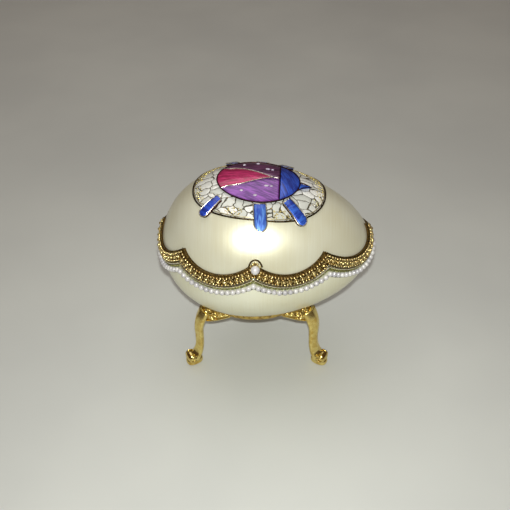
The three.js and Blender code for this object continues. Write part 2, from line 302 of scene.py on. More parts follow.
@dataclass(frozen=True)
class CrackleMosaic:
    """White and silver crackled ground, parted into cells by thin dark lines."""

    name: str = "crackle_mosaic"
    cells_per_m: float = 205.0
    white: Colour = rgb(248, 248, 242)
    silver: Colour = rgb(204, 206, 197)
    line: Colour = rgb(62, 58, 36)
    gold: Colour = rgb(196, 156, 70)

    def make(self) -> bpy.types.Material:
        """Build the material: warped cells, dark seams, fine crackle and a few gilt grains."""
        tree = FinishTree(self.name)
        seat = tree.place((1.0, 1.35, 0.35))
        wander = {"Vector": seat, "Scale": 260.0, "Detail": 2.0}
        warp = tree.value("ShaderNodeTexNoise", {}, wander, "Color")
        shift = tree.value(
            "ShaderNodeVectorMath", {"operation": "MULTIPLY"}, {0: warp, 1: (0.0028, 0.0028, 0.0)}
        )
        bent = tree.value("ShaderNodeVectorMath", {"operation": "ADD"}, {0: seat, 1: shift})
        cell = {"Vector": bent, "Scale": self.cells_per_m, "Randomness": 0.85}
        edge = tree.value("ShaderNodeTexVoronoi", {"feature": "DISTANCE_TO_EDGE"}, cell, "Distance")
        shade = tree.value("ShaderNodeTexVoronoi", {"feature": "F1"}, cell, "Color")
        fine = {"Vector": bent, "Scale": self.cells_per_m * 5.5, "Randomness": 1.0}
        crack = tree.value("ShaderNodeTexVoronoi", {"feature": "DISTANCE_TO_EDGE"}, fine, "Distance")
        grain = tree.noise(tree.place(), 1500.0, 1.0)
        lightness = tree.value("ShaderNodeRGBToBW", {}, {"Color": shade})
        body = tree.mix(lightness.stepped(0.2, 0.75), self.silver, self.white)
        cracked = tree.mix(crack.stepped(0.0, 0.16) * 0.6 + 0.4, self.silver, body)
        seam = edge.stepped(0.02, 0.045)
        toned = tree.mix(seam, self.line, cracked)
        gilt = grain.stepped(0.66, 0.7) * (1 - edge.stepped(0.06, 0.14))
        return tree.surface(
            Base_Color=tree.mix(gilt, toned, self.gold),
            Metallic=0.12 + gilt * 0.8,
            Roughness=0.3 + crack * 0.1,
            Normal=tree.bump(edge.stepped(0.0, 0.2) + crack * 0.15, 0.5, 0.0003),
            Coat_Weight=0.4,
            Coat_Roughness=0.12,
        )


@dataclass(frozen=True)
class Enamel:
    """Glassy colour over metal, brushed on in streaks that run one way."""

    name: str
    light: Colour
    deep: Colour
    turn: float = 0.0
    streak: float = 0.75

    def make(self) -> bpy.types.Material:
        """Build the material: streaks of deep and light colour below a clear coat."""
        tree = FinishTree(self.name)
        along = tree.place((190.0, 1300.0, 300.0), self.turn)
        streaks = tree.noise(along, 1.0, 3.0, 0.8)
        pool = tree.noise(tree.place(), 240.0, 2.0)
        blend = streaks * self.streak + pool * (1 - self.streak)
        tone = tree.mix(blend.stepped(0.36, 0.66), self.deep, self.light)
        return tree.surface(
            Base_Color=tone,
            Metallic=0.35,
            Roughness=0.26 + streaks * 0.16,
            Normal=tree.bump(streaks, 0.25, 0.00015),
            Coat_Weight=0.8,
            Coat_Roughness=0.06,
        )


@dataclass(frozen=True)
class PlainTable:
    """Pale grey coated board under the object."""

    name: str = "plain_table"
    light: Colour = rgb(206, 209, 203)
    deep: Colour = rgb(198, 201, 196)

    def make(self) -> bpy.types.Material:
        """Build the material."""
        tree = FinishTree(self.name)
        cloud = tree.noise(tree.place(), 9.0, 3.0)
        tone = tree.mix(cloud.stepped(0.3, 0.7), self.deep, self.light)
        return tree.surface(Base_Color=tone, Roughness=0.42 + cloud * 0.06)


class Gold(Enum):
    """The gilt finishes used on the box."""

    CAST = Gilt("gilt_cast")
    # Darker gold for the collar: painted shade of the recessed floor between the raised scrolls.
    CAST_PAINTED_SHADE = Gilt("gilt_collar_painted_shade", rgb(218, 188, 104), rgb(118, 84, 36), 0.26, 500.0)
    BRAID = Gilt("gilt_braid_beads", rgb(252, 236, 172), rgb(214, 180, 106), 0.15, 700.0)
    # Dark gold for the braid's bed: painted shade in the hollows between the beads.
    BRAID_SHADE_BED = Gilt("gilt_braid_bed_painted_shade", rgb(104, 80, 40), rgb(48, 34, 16), 0.45, 900.0, 0.3)
    GRAIN = Gilt("gilt_grains", rgb(236, 220, 140), rgb(170, 150, 74), 0.22, 900.0)
    # Dull dark green gilt for the bowl's edge cord: partly its own colour, partly painted shade of the gap
    # under the lid's braid.
    CORD = Gilt("gilt_green_cord_and_gap_shade", rgb(176, 172, 106), rgb(96, 92, 48), 0.35, 900.0, 0.2)


class Paint(Enum):
    """The enamels of the beetle."""

    CRIMSON = Enamel("enamel_crimson", rgb(214, 54, 120), rgb(150, 22, 72), 0.05)
    PURPLE = Enamel("enamel_purple", rgb(150, 82, 178), rgb(84, 36, 112), 0.35)
    PLUM = Enamel("enamel_plum", rgb(122, 70, 112), rgb(66, 36, 66), -0.3)
    BLUE_HEAD = Enamel("enamel_blue_head", rgb(50, 92, 206), rgb(22, 40, 128), 1.2)
    BLUE_REAR = Enamel("enamel_blue_rear", rgb(52, 92, 216), rgb(24, 42, 140), 0.7)
    # The middle legs' blue is lighter than the others': painted highlight of the flash on the middle leg.
    BLUE_MIDDLE_LIT = Enamel("enamel_blue_middle", rgb(104, 156, 232), rgb(38, 72, 178), 1.5)
    BLUE_FRONT = Enamel("enamel_blue_front", rgb(62, 118, 226), rgb(26, 52, 156), -0.8)


# ---------------------------------------------------------------- mesh tools


class Mould:
    """A mesh in the making: sheets, tubes and scattered beads gathered in one bmesh."""

    def __init__(self) -> None:
        """Start with an empty bmesh."""
        self.bm = bmesh.new()
        self.pattern: bpy.types.Mesh | None = None

    def sheet(self, along: int, around: int, place: Skin) -> "Mould":
        """Add a grid whose corners are moved to where `place` says.

        Args:
            along: Steps in the first direction.
            around: Steps in the second direction.
            place: Gives points in metres for two arrays of shares from 0 to 1.

        Returns:
            This mould.
        """
        made = bmesh.ops.create_grid(self.bm, x_segments=along, y_segments=around, size=0.5)
        corners = made["verts"]
        shares = np.array([corner.co[:2] for corner in corners]) + 0.5
        for corner, point in zip(corners, place(shares[:, 0], shares[:, 1])):
            corner.co = point
        return self

    def tube(self, path: np.ndarray, radius: Any, sides: int, closed: bool = False) -> "Mould":
        """Add a round tube along a path; an open tube draws in to a point at both ends.

        Args:
            path: Points in metres, one row each.
            radius: One radius, or one for each point, in metres.
            sides: Number of sides.
            closed: Whether the path runs back to its start.

        Returns:
            This mould.
        """
        radii = np.full(len(path), radius) if np.isscalar(radius) else np.asarray(radius)
        if not closed:
            path = np.vstack([path[:1], path, path[-1:]])
            radii = np.concatenate([[0.0], radii, [0.0]])
        count = len(path)
        before = np.roll(path, 1, 0) if closed else path[np.maximum(np.arange(count) - 1, 0)]
        after = np.roll(path, -1, 0) if closed else path[np.minimum(np.arange(count) + 1, count - 1)]
        heading = unit(after - before + 1e-12)
        side = carried_side(heading)
        lift = np.cross(heading, side)
        steps = count if closed else count - 1

        def place(share: np.ndarray, turn: np.ndarray) -> np.ndarray:
            """Give the tube's skin."""
            i = np.rint(share * steps).astype(int) % count
            angle = turn * TAU
            out = side[i] * np.cos(angle)[:, None] + lift[i] * np.sin(angle)[:, None]
            return path[i] + out * radii[i][:, None]

        return self.sheet(steps, sides, place)

    def put(self, seed: "Mould", placing: Matrix) -> "Mould":
        """Add a copy of another mould at a seat."""
        if seed.pattern is None:
            seed.pattern = bpy.data.meshes.new("seed")
            seed.bm.to_mesh(seed.pattern)
        copy = seed.pattern.copy()
        copy.transform(placing)
        self.bm.from_mesh(copy)
        bpy.data.meshes.remove(copy)
        return self

    def weld(self, distance: float = 2e-6) -> "Mould":
        """Merge meeting corners, drop faces without area and turn every face outwards."""
        bmesh.ops.remove_doubles(self.bm, verts=self.bm.verts[:], dist=distance)
        bmesh.ops.dissolve_degenerate(self.bm, dist=distance / 2, edges=self.bm.edges[:])
        bmesh.ops.recalc_face_normals(self.bm, faces=self.bm.faces[:])
        return self

    def piece(
        self, name: str, material: bpy.types.Material, slot: str, nodes: Sequence[str] = ()
    ) -> bpy.types.Object:
        """Turn the mould into a smooth piece that rides with the box.

        Args:
            name: The piece's name.
            material: Its finish.
            slot: The record's material slot; not used.
            nodes: CAD nodes that it stands for.

        Returns:
            The new object.
        """
        mesh = bpy.data.meshes.new(name)
        self.bm.to_mesh(mesh)
        self.bm.free()
        mesh.polygons.foreach_set("use_smooth", [True] * len(mesh.polygons))
        mesh.materials.append(material)
        made = bpy.data.objects.new(name, mesh)
        bpy.context.scene.collection.objects.link(made)
        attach(made, "root")
        if nodes:
            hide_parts(*nodes)
        LOG.info("%s: %d faces", name, len(mesh.polygons))
        return made


def unit(rows: np.ndarray) -> np.ndarray:
    """Return rows scaled to length one."""
    return rows / np.linalg.norm(rows, axis=1)[:, None]


def carried_side(heading: np.ndarray) -> np.ndarray:
    """Carry a side direction along a path without twist.

    Args:
        heading: Unit headings, one row per path point.

    Returns:
        Unit side directions square to the headings.
    """
    start = np.array([0.0, 0.0, 1.0]) if abs(heading[0][2]) < 0.8 else np.array([1.0, 0.0, 0.0])
    side = np.zeros_like(heading)
    current = start
    for i, ahead in enumerate(heading):
        current = current - ahead * float(np.dot(current, ahead))
        current = current / np.linalg.norm(current)
        side[i] = current
    return side


def bead(segments: int = 10, rings: int = 7) -> Mould:
    """Return a ball of radius one, ready to scatter."""
    mould = Mould()
    bmesh.ops.create_uvsphere(mould.bm, u_segments=segments, v_segments=rings, radius=1.0)
    return mould


def seat(point: np.ndarray, axes: Sequence[np.ndarray], sizes: Sequence[float]) -> Matrix:
    """Return a placement from a point, three axes and a size along each."""
    columns = [Vector(axis) * size for axis, size in zip(axes, sizes)]
    turned = Matrix((columns[0], columns[1], columns[2])).transposed().to_4x4()
    return Matrix.Translation(Vector(point)) @ turned


def evenly(line: np.ndarray, count: int, start: float = 0.0) -> np.ndarray:
    """Return evenly spaced points along a closed line.

    Args:
        line: Points of the closed line.
        count: How many points to return.
        start: Shift along the line, in steps.

    Returns:
        The spaced points.
    """
    ring = np.vstack([line, line[:1]])
    run = np.concatenate([[0.0], np.cumsum(np.linalg.norm(np.diff(ring, axis=0), axis=1))])
    marks = ((np.arange(count) + start) / count % 1.0) * run[-1]
    return np.stack([np.interp(marks, run, ring[:, k]) for k in range(3)], axis=1)


def circle_line(radius: float, count: int) -> np.ndarray:
    """Return a closed circle lying flat round the origin."""
    angle = np.arange(count) * TAU / count
    return np.stack([radius * np.cos(angle), radius * np.sin(angle), 0 * angle], axis=1)


def length_of(line: np.ndarray) -> float:
    """Return the length of a closed line."""
    return float(np.linalg.norm(np.roll(line, -1, 0) - line, axis=1).sum())


def mirrored(line: PlanLine) -> PlanLine:
    """Return a plan line laid on the other side of the long axis."""

    def other_side(x: np.ndarray) -> np.ndarray:
        """Give the line's places with their side changed."""
        return -line(x)

    return other_side


def squared(wave: np.ndarray, power: float) -> np.ndarray:
    """Return a sine or cosine raised to a power with its sign kept, which squares a round section."""
    return np.sign(wave) * np.abs(wave) ** power


# ---------------------------------------------------------------- the egg's form


@dataclass(frozen=True)
class EggForm:
    """The egg's outer surface and the scalloped line round it, in metres."""

    centre: tuple[float, float, float]
    half_length: float = 43 * MM
    girth_radius: float = 30.9 * MM
    taper: float = -0.15
    swell: float = 0.02
    decor_x: float = -3.4 * MM
    scallops: int = 8
    plan_squash: float = 0.8
    band_low: float = -2.9 * MM
    band_span: float = 9.8 * MM
    rise_low: float = 4.2 * MM
    rise_high: float = 5.9 * MM
    end_drop: float = 1.4 * MM
    side_lift: float = 1.0 * MM
    past_box_middle: float = 0.16 * MM

    @classmethod
    def from_frame(cls) -> "EggForm":
        """Find the egg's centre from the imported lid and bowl."""
        probe = cls((0.0, 0.0, 0.0))
        crown = float(probe.radius(np.array([probe.decor_x]))[0])
        low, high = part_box("bowl")
        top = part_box("lid")[1][2]
        middle_x = (low[0] + high[0]) / 2 + probe.past_box_middle
        return cls((middle_x, (low[1] + high[1]) / 2, top - crown))

    def radius(self, x: np.ndarray, grow: Any = 0.0) -> np.ndarray:
        """Return the girth radius of the egg grown outwards, at distances along its axis."""
        u = np.clip(x / (self.half_length + grow), -1.0, 1.0)
        return (self.girth_radius + grow) * np.sqrt(1 - u * u) * (1 + self.taper * u + self.swell * u * u)

    def reach(self, start: np.ndarray, heading: np.ndarray, grow: Any) -> np.ndarray:
        """Return the points where lines from inside leave the grown egg."""
        near = np.zeros(len(start))
        far = np.full(len(start), 2 * self.half_length)
        for _ in range(34):
            middle = (near + far) / 2
            spot = start + heading * middle[:, None]
            inside = np.hypot(spot[:, 1], spot[:, 2]) < self.radius(spot[:, 0], grow)
            near = np.where(inside, middle, near)
            far = np.where(inside, far, middle)
        return start + heading * near[:, None]

    def world(self, local: np.ndarray) -> np.ndarray:
        """Move points from the egg's centre to the frame."""
        return local + np.array(self.centre)

    def band(self, turn: np.ndarray, share: Any, grow: Any) -> np.ndarray:
        """Return points on the trim band.

        Args:
            turn: Angle round the plan, in radians.
            share: 0 at the pearls' foot to 1 at the braid's top.
            grow: Height off the shell.

        Returns:
            Points about the egg's centre.
        """
        phase = turn * self.scallops / TAU
        q = 2 * (phase - np.floor(phase + 1e-9)) - 1
        rise = (self.rise_low + (self.rise_high - self.rise_low) * share) * q * q
        z = self.band_low + share * self.band_span + rise - self.end_drop * np.cos(turn) ** 2
        z = z + self.side_lift * np.sin(2 * turn) ** 2
        flat = unit(np.stack([np.cos(turn), self.plan_squash * np.sin(turn), 0 * turn], axis=1))
        start = np.stack([0 * turn + self.decor_x, 0 * turn, z], axis=1)
        return self.reach(start, flat, grow)

    def crown(self, x: np.ndarray, y: np.ndarray, grow: Any) -> np.ndarray:
        """Return points above plan places on the egg's top, raised along the surface normal."""
        radius = self.radius(x)
        slope = (self.radius(x + 1e-5) - self.radius(x - 1e-5)) / 2e-5
        z = np.sqrt(np.maximum(radius * radius - y * y, 0.0))
        normal = unit(np.stack([-slope, y / radius, z / radius], axis=1))
        return np.stack([x, y, z], axis=1) + normal * np.reshape(grow, (-1, 1))

    def band_line(self, share: float, grow: float, count: int = 4096) -> np.ndarray:
        """Return a closed line along the trim band, in the frame."""
        turn = np.arange(count) * TAU / count
        return self.world(self.band(turn, share, grow))

    def band_seats(
        self, share: float, grow: float, pitch: float, start: float = 0.0
    ) -> tuple[np.ndarray, ...]:
        """Return evenly spaced seats on the trim band.

        Args:
            share: Height on the band.
            grow: Height off the shell.
            pitch: Spacing in metres, rounded so that a whole number fits.
            start: Shift in steps.

        Returns:
            Points, headings along the line, directions outwards and directions across.
        """
        line = self.band_line(share, grow)
        count = round(length_of(line) / pitch)
        spots = evenly(line, count, start)
        heading = unit(np.roll(spots, -1, 0) - np.roll(spots, 1, 0))
        out = spots - self.world(np.array([[self.decor_x, 0.0, 0.0]]))
        out[:, 2] = 0.0
        out = unit(out - heading * np.sum(out * heading, axis=1)[:, None])
        return spots, heading, out, np.cross(heading, out)


# ---------------------------------------------------------------- shell


@dataclass
class EggShell:
    """The two hollow parts of the blown egg."""

    form: EggForm
    wall: float = 1.2 * MM
    seam_share: float = 0.38
    half_seam: float = 0.12 * MM
    steps_round: int = 320
    steps_down: int = 56

    def part(self, up: int) -> Mould:
        """Build one part.

        Args:
            up: 1 for the lid, -1 for the bowl.

        Returns:
            The closed, hollow part.
        """
        form = self.form
        middle = np.array([form.decor_x, 0.0, 0.0])

        def place(turn_share: np.ndarray, run: np.ndarray) -> np.ndarray:
            """Run from the outer pole down to the rim and back up inside."""
            rim = form.band(turn_share * TAU, self.seam_share, 0.0) - middle
            rim[:, 2] += up * self.half_seam
            start = np.arctan2(rim[:, 2], np.hypot(rim[:, 0], rim[:, 1]))
            inner = run > 0.5 + 1e-6
            share = np.abs(run - 0.5) * 2
            tilt = start + (up * math.pi / 2 - start) * share
            flat = unit(np.stack([rim[:, 0], rim[:, 1], 0 * start], axis=1))
            heading = flat * np.cos(tilt)[:, None]
            heading[:, 2] = np.sin(tilt)
            start_row = np.repeat(middle[None, :], len(tilt), axis=0)
            return form.world(form.reach(start_row, heading, np.where(inner, -self.wall, 0.0)))

        return Mould().sheet(self.steps_round, self.steps_down * 2 + 1, self.eased(place)).weld()

    @staticmethod
    def eased(place: Skin) -> Skin:
        """Let the middle step of the run cross the rim from outside to inside."""

        def stretched(turn_share: np.ndarray, run: np.ndarray) -> np.ndarray:
            """Keep both rim rows at the rim."""
            steps = round(1 / np.min(run[run > 1e-6]))
            row = np.rint(run * steps)
            half = (steps - 1) / 2
            share = np.where(row <= half, row / half * 0.5, 0.5 + (row - half - 1) / half * 0.5)
            return place(turn_share, np.where(row <= half, share, share + 2e-6))

        return stretched

    def build(self) -> None:
        """Make and dress both parts."""
        lacquer = PearlLacquer().make()
        self.part(-1).piece("bowl_shell", lacquer, "shell", ["bowl"])
        self.part(1).piece("lid_shell", lacquer, "shell", ["lid"])


# ---------------------------------------------------------------- trim


@dataclass(frozen=True)
class Cord:
    """A twisted cord on the trim band: its height there, its height off the shell and its lay."""

    share: float
    grow: float
    half_thick: float
    pitch: float
    lean: float
    strand_length: float = 0.72
    strand_width: float = 0.8

    def laid(self, form: EggForm) -> Mould:
        """Return the cord as slanted strands side by side.

        Args:
            form: The egg.

        Returns:
            The cord.
        """
        strand = bead(8, 5)
        mould = Mould()
        sizes = (self.pitch * self.strand_length, self.half_thick * self.strand_width, self.half_thick)
        spots, heading, out, across = form.band_seats(self.share, self.grow, self.pitch)
        for i, spot in enumerate(spots):
            slant = unit((heading[i] + across[i] * self.lean)[None, :])[0]
            square = np.cross(slant, out[i])
            mould.put(strand, seat(spot, (slant, square, out[i]), sizes))
        return mould


@dataclass(frozen=True)
class BeadRow:
    """One row of the braid: its heights, how many elements go to one eyelet, and their radius."""

    share: float
    grow: float
    part: int
    start: float
    radius: float


@dataclass
class LidTrim:
    """Braid, cords, wire and front pearl along the lid's edge."""

    form: EggForm
    bed_low: float = 0.465
    bed_high: float = 0.95
    bed_thick: float = 1.15 * MM
    bed_lift: float = 0.05 * MM
    eyelet_pitch: float = 2.46 * MM
    eyelet_wire: float = 0.15
    eyelets: BeadRow = BeadRow(0.7, 1.3 * MM, 1, 0.0, 0.98 * MM)
    eyelet_beads: BeadRow = BeadRow(0.7, 1.5 * MM, 1, 0.0, 0.64 * MM)
    lower_beads: BeadRow = BeadRow(0.56, 1.25 * MM, 2, 0.5, 0.44 * MM)
    upper_beads: BeadRow = BeadRow(0.855, 1.25 * MM, 2, 0.5, 0.48 * MM)
    bead_slip: float = 0.07 * MM
    bead_rise: float = 0.1 * MM
    top_cord: Cord = Cord(0.94, 0.8 * MM, 0.34 * MM, 0.8 * MM, 0.9)
    wire_share: float = 0.435
    wire_lift: float = 0.95 * MM
    wire_radius: float = 0.4 * MM
    pearl_radius: float = 1.72 * MM
    pearl_shift: tuple[float, float, float] = (0.75 * MM, 1.6 * MM, 0.95 * MM)
    arch_radius: float = 0.32 * MM
    arch_sink: float = 0.9
    arch_line: tuple[tuple[float, float], ...] = (
        (-2.5, 0.9), (-2.2, 1.9), (-1.75, 2.8), (-0.95, 3.5), (0, 3.75),
        (0.95, 3.5), (1.75, 2.8), (2.25, 1.9), (2.6, 1.0),
    )
    setting_sink: float = 0.25
    setting_places: tuple[tuple[float, float], ...] = (
        (-0.85, 2.25), (0.8, 2.25), (0.0, 2.85), (-1.75, 1.35), (1.85, 1.35),
    )
    setting_radii: tuple[float, ...] = (0.55, 0.55, 0.4, 0.42, 0.42)
    cup_sink: float = 0.95
    cup_half: tuple[float, float, float] = (1.75 * MM, 0.9 * MM, 1.75 * MM)
    seed: int = 7

    def bed(self) -> Mould:
        """Return the rounded band that carries the beads; it is coloured dark as painted shade between the
        beads.
        """
        low, high, thick = self.bed_low, self.bed_high, self.bed_thick
        form = self.form

        def place(turn_share: np.ndarray, run: np.ndarray) -> np.ndarray:
            """Run round the band's section."""
            angle = run * TAU
            share = (low + high) / 2 - (high - low) / 2 * np.cos(angle)
            grow = np.where(np.sin(angle) > 0, thick * np.abs(np.sin(angle)) ** 0.6, 0.0) + self.bed_lift
            return form.world(form.band(turn_share * TAU, share, grow))

        return Mould().sheet(512, 20, place).weld()

    def row(self, mould: Mould, element: Mould, plan: BeadRow) -> None:
        """Add one row of a braid element, each a little off its even seat.

        Args:
            mould: Where to add it.
            element: What the row repeats, of radius one.
            plan: Where the row runs.
        """
        dice = random.Random(self.seed + round(plan.share * 1000))
        pitch = self.eyelet_pitch / plan.part
        spots, heading, out, across = self.form.band_seats(plan.share, plan.grow, pitch, plan.start)
        for i, spot in enumerate(spots):
            slip = heading[i] * dice.uniform(-self.bead_slip, self.bead_slip)
            jog = slip + out[i] * dice.uniform(-self.bead_rise, self.bead_rise)
            size = plan.radius * dice.uniform(0.92, 1.07)
            mould.put(element, seat(spot + jog, (heading[i], across[i], out[i]), [size] * 3))

    def beads(self) -> Mould:
        """Return the eyelets with a bead in each, and the smaller beads above and below them."""
        ball, small = bead(12, 8), bead(9, 6)
        ring = Mould().tube(circle_line(1.0, 16), self.eyelet_wire, 6, closed=True)
        mould = Mould()
        self.row(mould, ring, self.eyelets)
        self.row(mould, ball, self.eyelet_beads)
        self.row(mould, small, self.lower_beads)
        self.row(mould, small, self.upper_beads)
        return mould

    def front_place(self) -> np.ndarray:
        """Return the centre of the front pearl."""
        low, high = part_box("front_pearl")
        return (np.array(low) + np.array(high)) / 2 + np.array(self.pearl_shift)

    def arch(self, points: Sequence[tuple[float, float]], sink: float) -> np.ndarray:
        """Return places round the front pearl.

        Args:
            points: Sideways and upward distances from its centre, in millimetres.
            sink: Distance behind it towards the shell, in millimetres.

        Returns:
            Frame points.
        """
        up = np.array([0.0, 0.34, 0.94])
        out = np.array([0.0, -0.94, 0.34])
        centre = self.front_place()
        return np.array([centre + (np.array([x, 0, 0]) + up * y - out * sink) * MM for x, y in points])

    def build(self) -> None:
        """Make and dress the lid's trim."""
        bright = Gold.BRAID.value.make()
        # The top cord and the loop over the front pearl are gold coloured dark: painted shade and dark
        # reflection.
        dark = Wire("braid_cord_painted_shade", rgb(120, 98, 54), rgb(44, 34, 18), 0.36).make()
        # The bed's dark colour is painted shade between the beads.
        self.bed().piece("braid_bed", Gold.BRAID_SHADE_BED.value.make(), "gilt_braid", ["gold_braid"])
        self.beads().weld(1e-9).piece("braid_beads", bright, "gilt_braid")
        cord = self.top_cord.laid(self.form)
        loop = self.arch(self.arch_line, self.arch_sink)
        cord.put(Mould().tube(loop, self.arch_radius, 8), Matrix())
        cord.weld(1e-9).piece("braid_top_cord", dark, "gilt_braid")
        silver = Wire("bright_rim_wire", rgb(250, 246, 226), rgb(206, 198, 160), 0.1).make()
        line = self.form.band_line(self.wire_share, self.wire_lift, 768)
        wire = Mould().tube(line, self.wire_radius, 10, closed=True)
        wire.weld().piece("lid_edge_wire", silver, "silver_wire", ["lid_rim_wire"])
        self.front(bright)

    def front(self, bright: bpy.types.Material) -> None:
        """Make the single pearl at the front and the small gilt beads over it."""
        centre, axes = self.front_place(), np.eye(3)
        pearl = Mould().put(bead(40, 24), seat(centre, axes, [self.pearl_radius] * 3))
        pearl.piece("front_pearl_ball", PearlSkin("front_pearl_skin").make(), "pearls", ["front_pearl"])
        setting = Mould()
        spots = self.arch(self.setting_places, self.setting_sink)
        for spot, size in zip(spots, self.setting_radii):
            setting.put(bead(12, 8), seat(spot, axes, [size * MM] * 3))
        cup = self.arch(((0.0, 0.0),), self.cup_sink)[0]
        setting.put(bead(24, 12), seat(cup, axes, self.cup_half))
        setting.weld(1e-9).piece("front_pearl_setting", bright, "gilt_braid")


@dataclass
class BowlTrim:
    """Pearls and cords along the bowl's edge; the dark cord under the pearls is painted shadow."""

    form: EggForm
    pearl_pitch: float = 2.14 * MM
    pearl_radius: float = 1.08 * MM
    pearl_share: float = 0.17
    pearl_clear: float = 0.02 * MM
    pearl_slip: float = 0.08 * MM
    edge_cord: Cord = Cord(0.345, 0.5 * MM, 0.5 * MM, 1.16 * MM, 0.7)
    # A dark cord under the pearls: painted shadow of the pearls on the shell.
    shadow_line_cord: Cord = Cord(0.035, 0.35 * MM, 0.3 * MM, 1.0 * MM, 0.35)
    pale_share: float = 0.285
    pale_lift: float = 0.2 * MM
    pale_radius: float = 0.38 * MM
    seed: int = 19

    def pearls(self) -> Mould:
        """Return the string of pearls."""
        dice = random.Random(self.seed)
        ball = bead(14, 9)
        mould = Mould()
        grow = self.pearl_radius + self.pearl_clear
        spots, heading, out, across = self.form.band_seats(self.pearl_share, grow, self.pearl_pitch, 0.5)
        for i, spot in enumerate(spots):
            size = self.pearl_radius * dice.uniform(0.965, 1.02)
            jog = across[i] * dice.uniform(-self.pearl_slip, self.pearl_slip)
            mould.put(ball, seat(spot + jog, (heading[i], out[i], across[i]), [size] * 3))
        return mould

    def build(self) -> None:
        """Make and dress the bowl's trim."""
        self.pearls().weld(1e-9).piece("bowl_pearls", PearlSkin().make(), "pearls", ["pearl_string"])
        # The edge cord's dark green is partly painted shade of the gap under the braid.
        green = Gold.CORD.value.make()
        cord = self.edge_cord.laid(self.form)
        cord.weld(1e-9).piece("bowl_edge_cord", green, "gilt_braid", ["bowl_cord"])
        pale = Wire("bowl_pale_wire", rgb(222, 226, 176), rgb(176, 182, 116), 0.3).make()
        line = self.form.band_line(self.pale_share, self.pale_lift, 512)
        edge = Mould().tube(line, self.pale_radius, 8, closed=True)
        edge.weld().piece("bowl_pale_edge", pale, "gilt_braid")
        # Dark grey cord under the pearls: painted shadow.
        dark = Wire("pearl_painted_shadow_cord", rgb(150, 148, 132), rgb(62, 60, 50), 0.4).make()
        foot = self.shadow_line_cord.laid(self.form)
        foot.weld(1e-9).piece("pearl_painted_shadow_line", dark, "dark_wire")


# ---------------------------------------------------------------- panel and beetle


@dataclass
class Panel:
    """The oval crackled panel let into the lid, and its wire rim."""

    form: EggForm
    x: float = -2.7 * MM
    half_length: float = 26.2 * MM
    half_width: float = 19.5 * MM
    power: float = 2.3
    thick: float = 0.55 * MM
    rim_radius: float = 0.36 * MM
    patches: tuple[tuple[float, float, int], ...] = (
        (150, 26, 170),
        (32, 24, 170),
        (92, 16, 60),
        (-118, 9, 40),
        (-62, 10, 50),
        (-8, 14, 50),
        (195, 10, 30),
    )
    seed: int = 31

    def edge(self, angle: np.ndarray, inset: float, share: Any) -> tuple[np.ndarray, np.ndarray]:
        """Return plan places on the outline drawn in by `inset`, at a share of its radius."""
        c, s = np.cos(angle), np.sin(angle)
        a, b = self.half_length - inset, self.half_width - inset
        radius = (np.abs(c / a) ** self.power + np.abs(s / b) ** self.power) ** (-1 / self.power)
        return self.x + share * radius * c, share * radius * s

    def ground(self) -> Mould:
        """Return the slab of the panel."""
        form = self.form

        def place(turn_share: np.ndarray, run: np.ndarray) -> np.ndarray:
            """Run from the middle over the top to the edge and back underneath."""
            top = run < 0.75
            share = np.where(top, np.minimum(run / 0.7, 1.0), (1 - run) / 0.25)
            edge_drop = np.clip((run - 0.66) / 0.09, 0.0, 1.0)
            grow = np.where(top, self.thick * np.sqrt(1 - edge_drop**2), 0.0) + 0.02 * MM
            x, y = self.edge(turn_share * TAU, 0.25 * MM, share)
            return form.world(form.crown(x, y, grow))

        return Mould().sheet(200, 80, place).weld()

    def rim_line(self, inset: float, grow: float) -> np.ndarray:
        """Return the closed outline at an inset and a height."""
        x, y = self.edge(np.arange(360) * TAU / 360, inset, 1.0)
        return self.form.world(self.form.crown(x, y, np.full(360, grow)))

    def build(self) -> None:
        """Make and dress the panel."""
        self.ground().piece("panel_slab", CrackleMosaic().make(), "mosaic", ["panel_ground"])
        dark = Wire("panel_dark_wire", rgb(92, 76, 48), rgb(28, 22, 14), 0.34).make()
        rim = Mould().tube(self.rim_line(0.45 * MM, 0.5 * MM), self.rim_radius, 10, closed=True)
        rim.weld().piece("panel_outer_wire", dark, "dark_wire", ["panel_rim"])
        pale = Wire("panel_pale_wire", rgb(232, 226, 198), rgb(190, 180, 140), 0.25).make()
        line = Mould().tube(self.rim_line(1.05 * MM, 0.6 * MM), 0.26 * MM, 8, closed=True)
        line.weld().piece("panel_inner_wire", pale, "silver_wire")
        self.granules().weld(1e-9).piece("panel_gilt_grains", Gold.GRAIN.value.make(), "gilt_braid")

    def granules(self) -> Mould:
        """Return the gilt grains that fill the panel's edge in patches."""
        dice = random.Random(self.seed)
        grain = bead(7, 5)
        mould = Mould()
        for middle, spread, count in self.patches:
            for _ in range(count):
                angle = math.radians(middle + dice.uniform(-spread, spread))
                inset = (1.5 + 2.4 * dice.random() ** 1.4) * MM
                x, y = self.edge(np.array([angle]), inset, 1.0)
                size = dice.uniform(0.13, 0.26) * MM
                spot = self.form.world(self.form.crown(x, y, [self.thick + size * 0.3]))[0]
                mould.put(grain, seat(spot, np.eye(3), [size] * 3))
        return mould


@dataclass(frozen=True)
class Limb:
    """One leg of the beetle in its own plan, in millimetres."""

    name: str
    side: str
    root: tuple[float, float]
    tip: tuple[float, float]
    half: tuple[float, float]
    paint: Paint


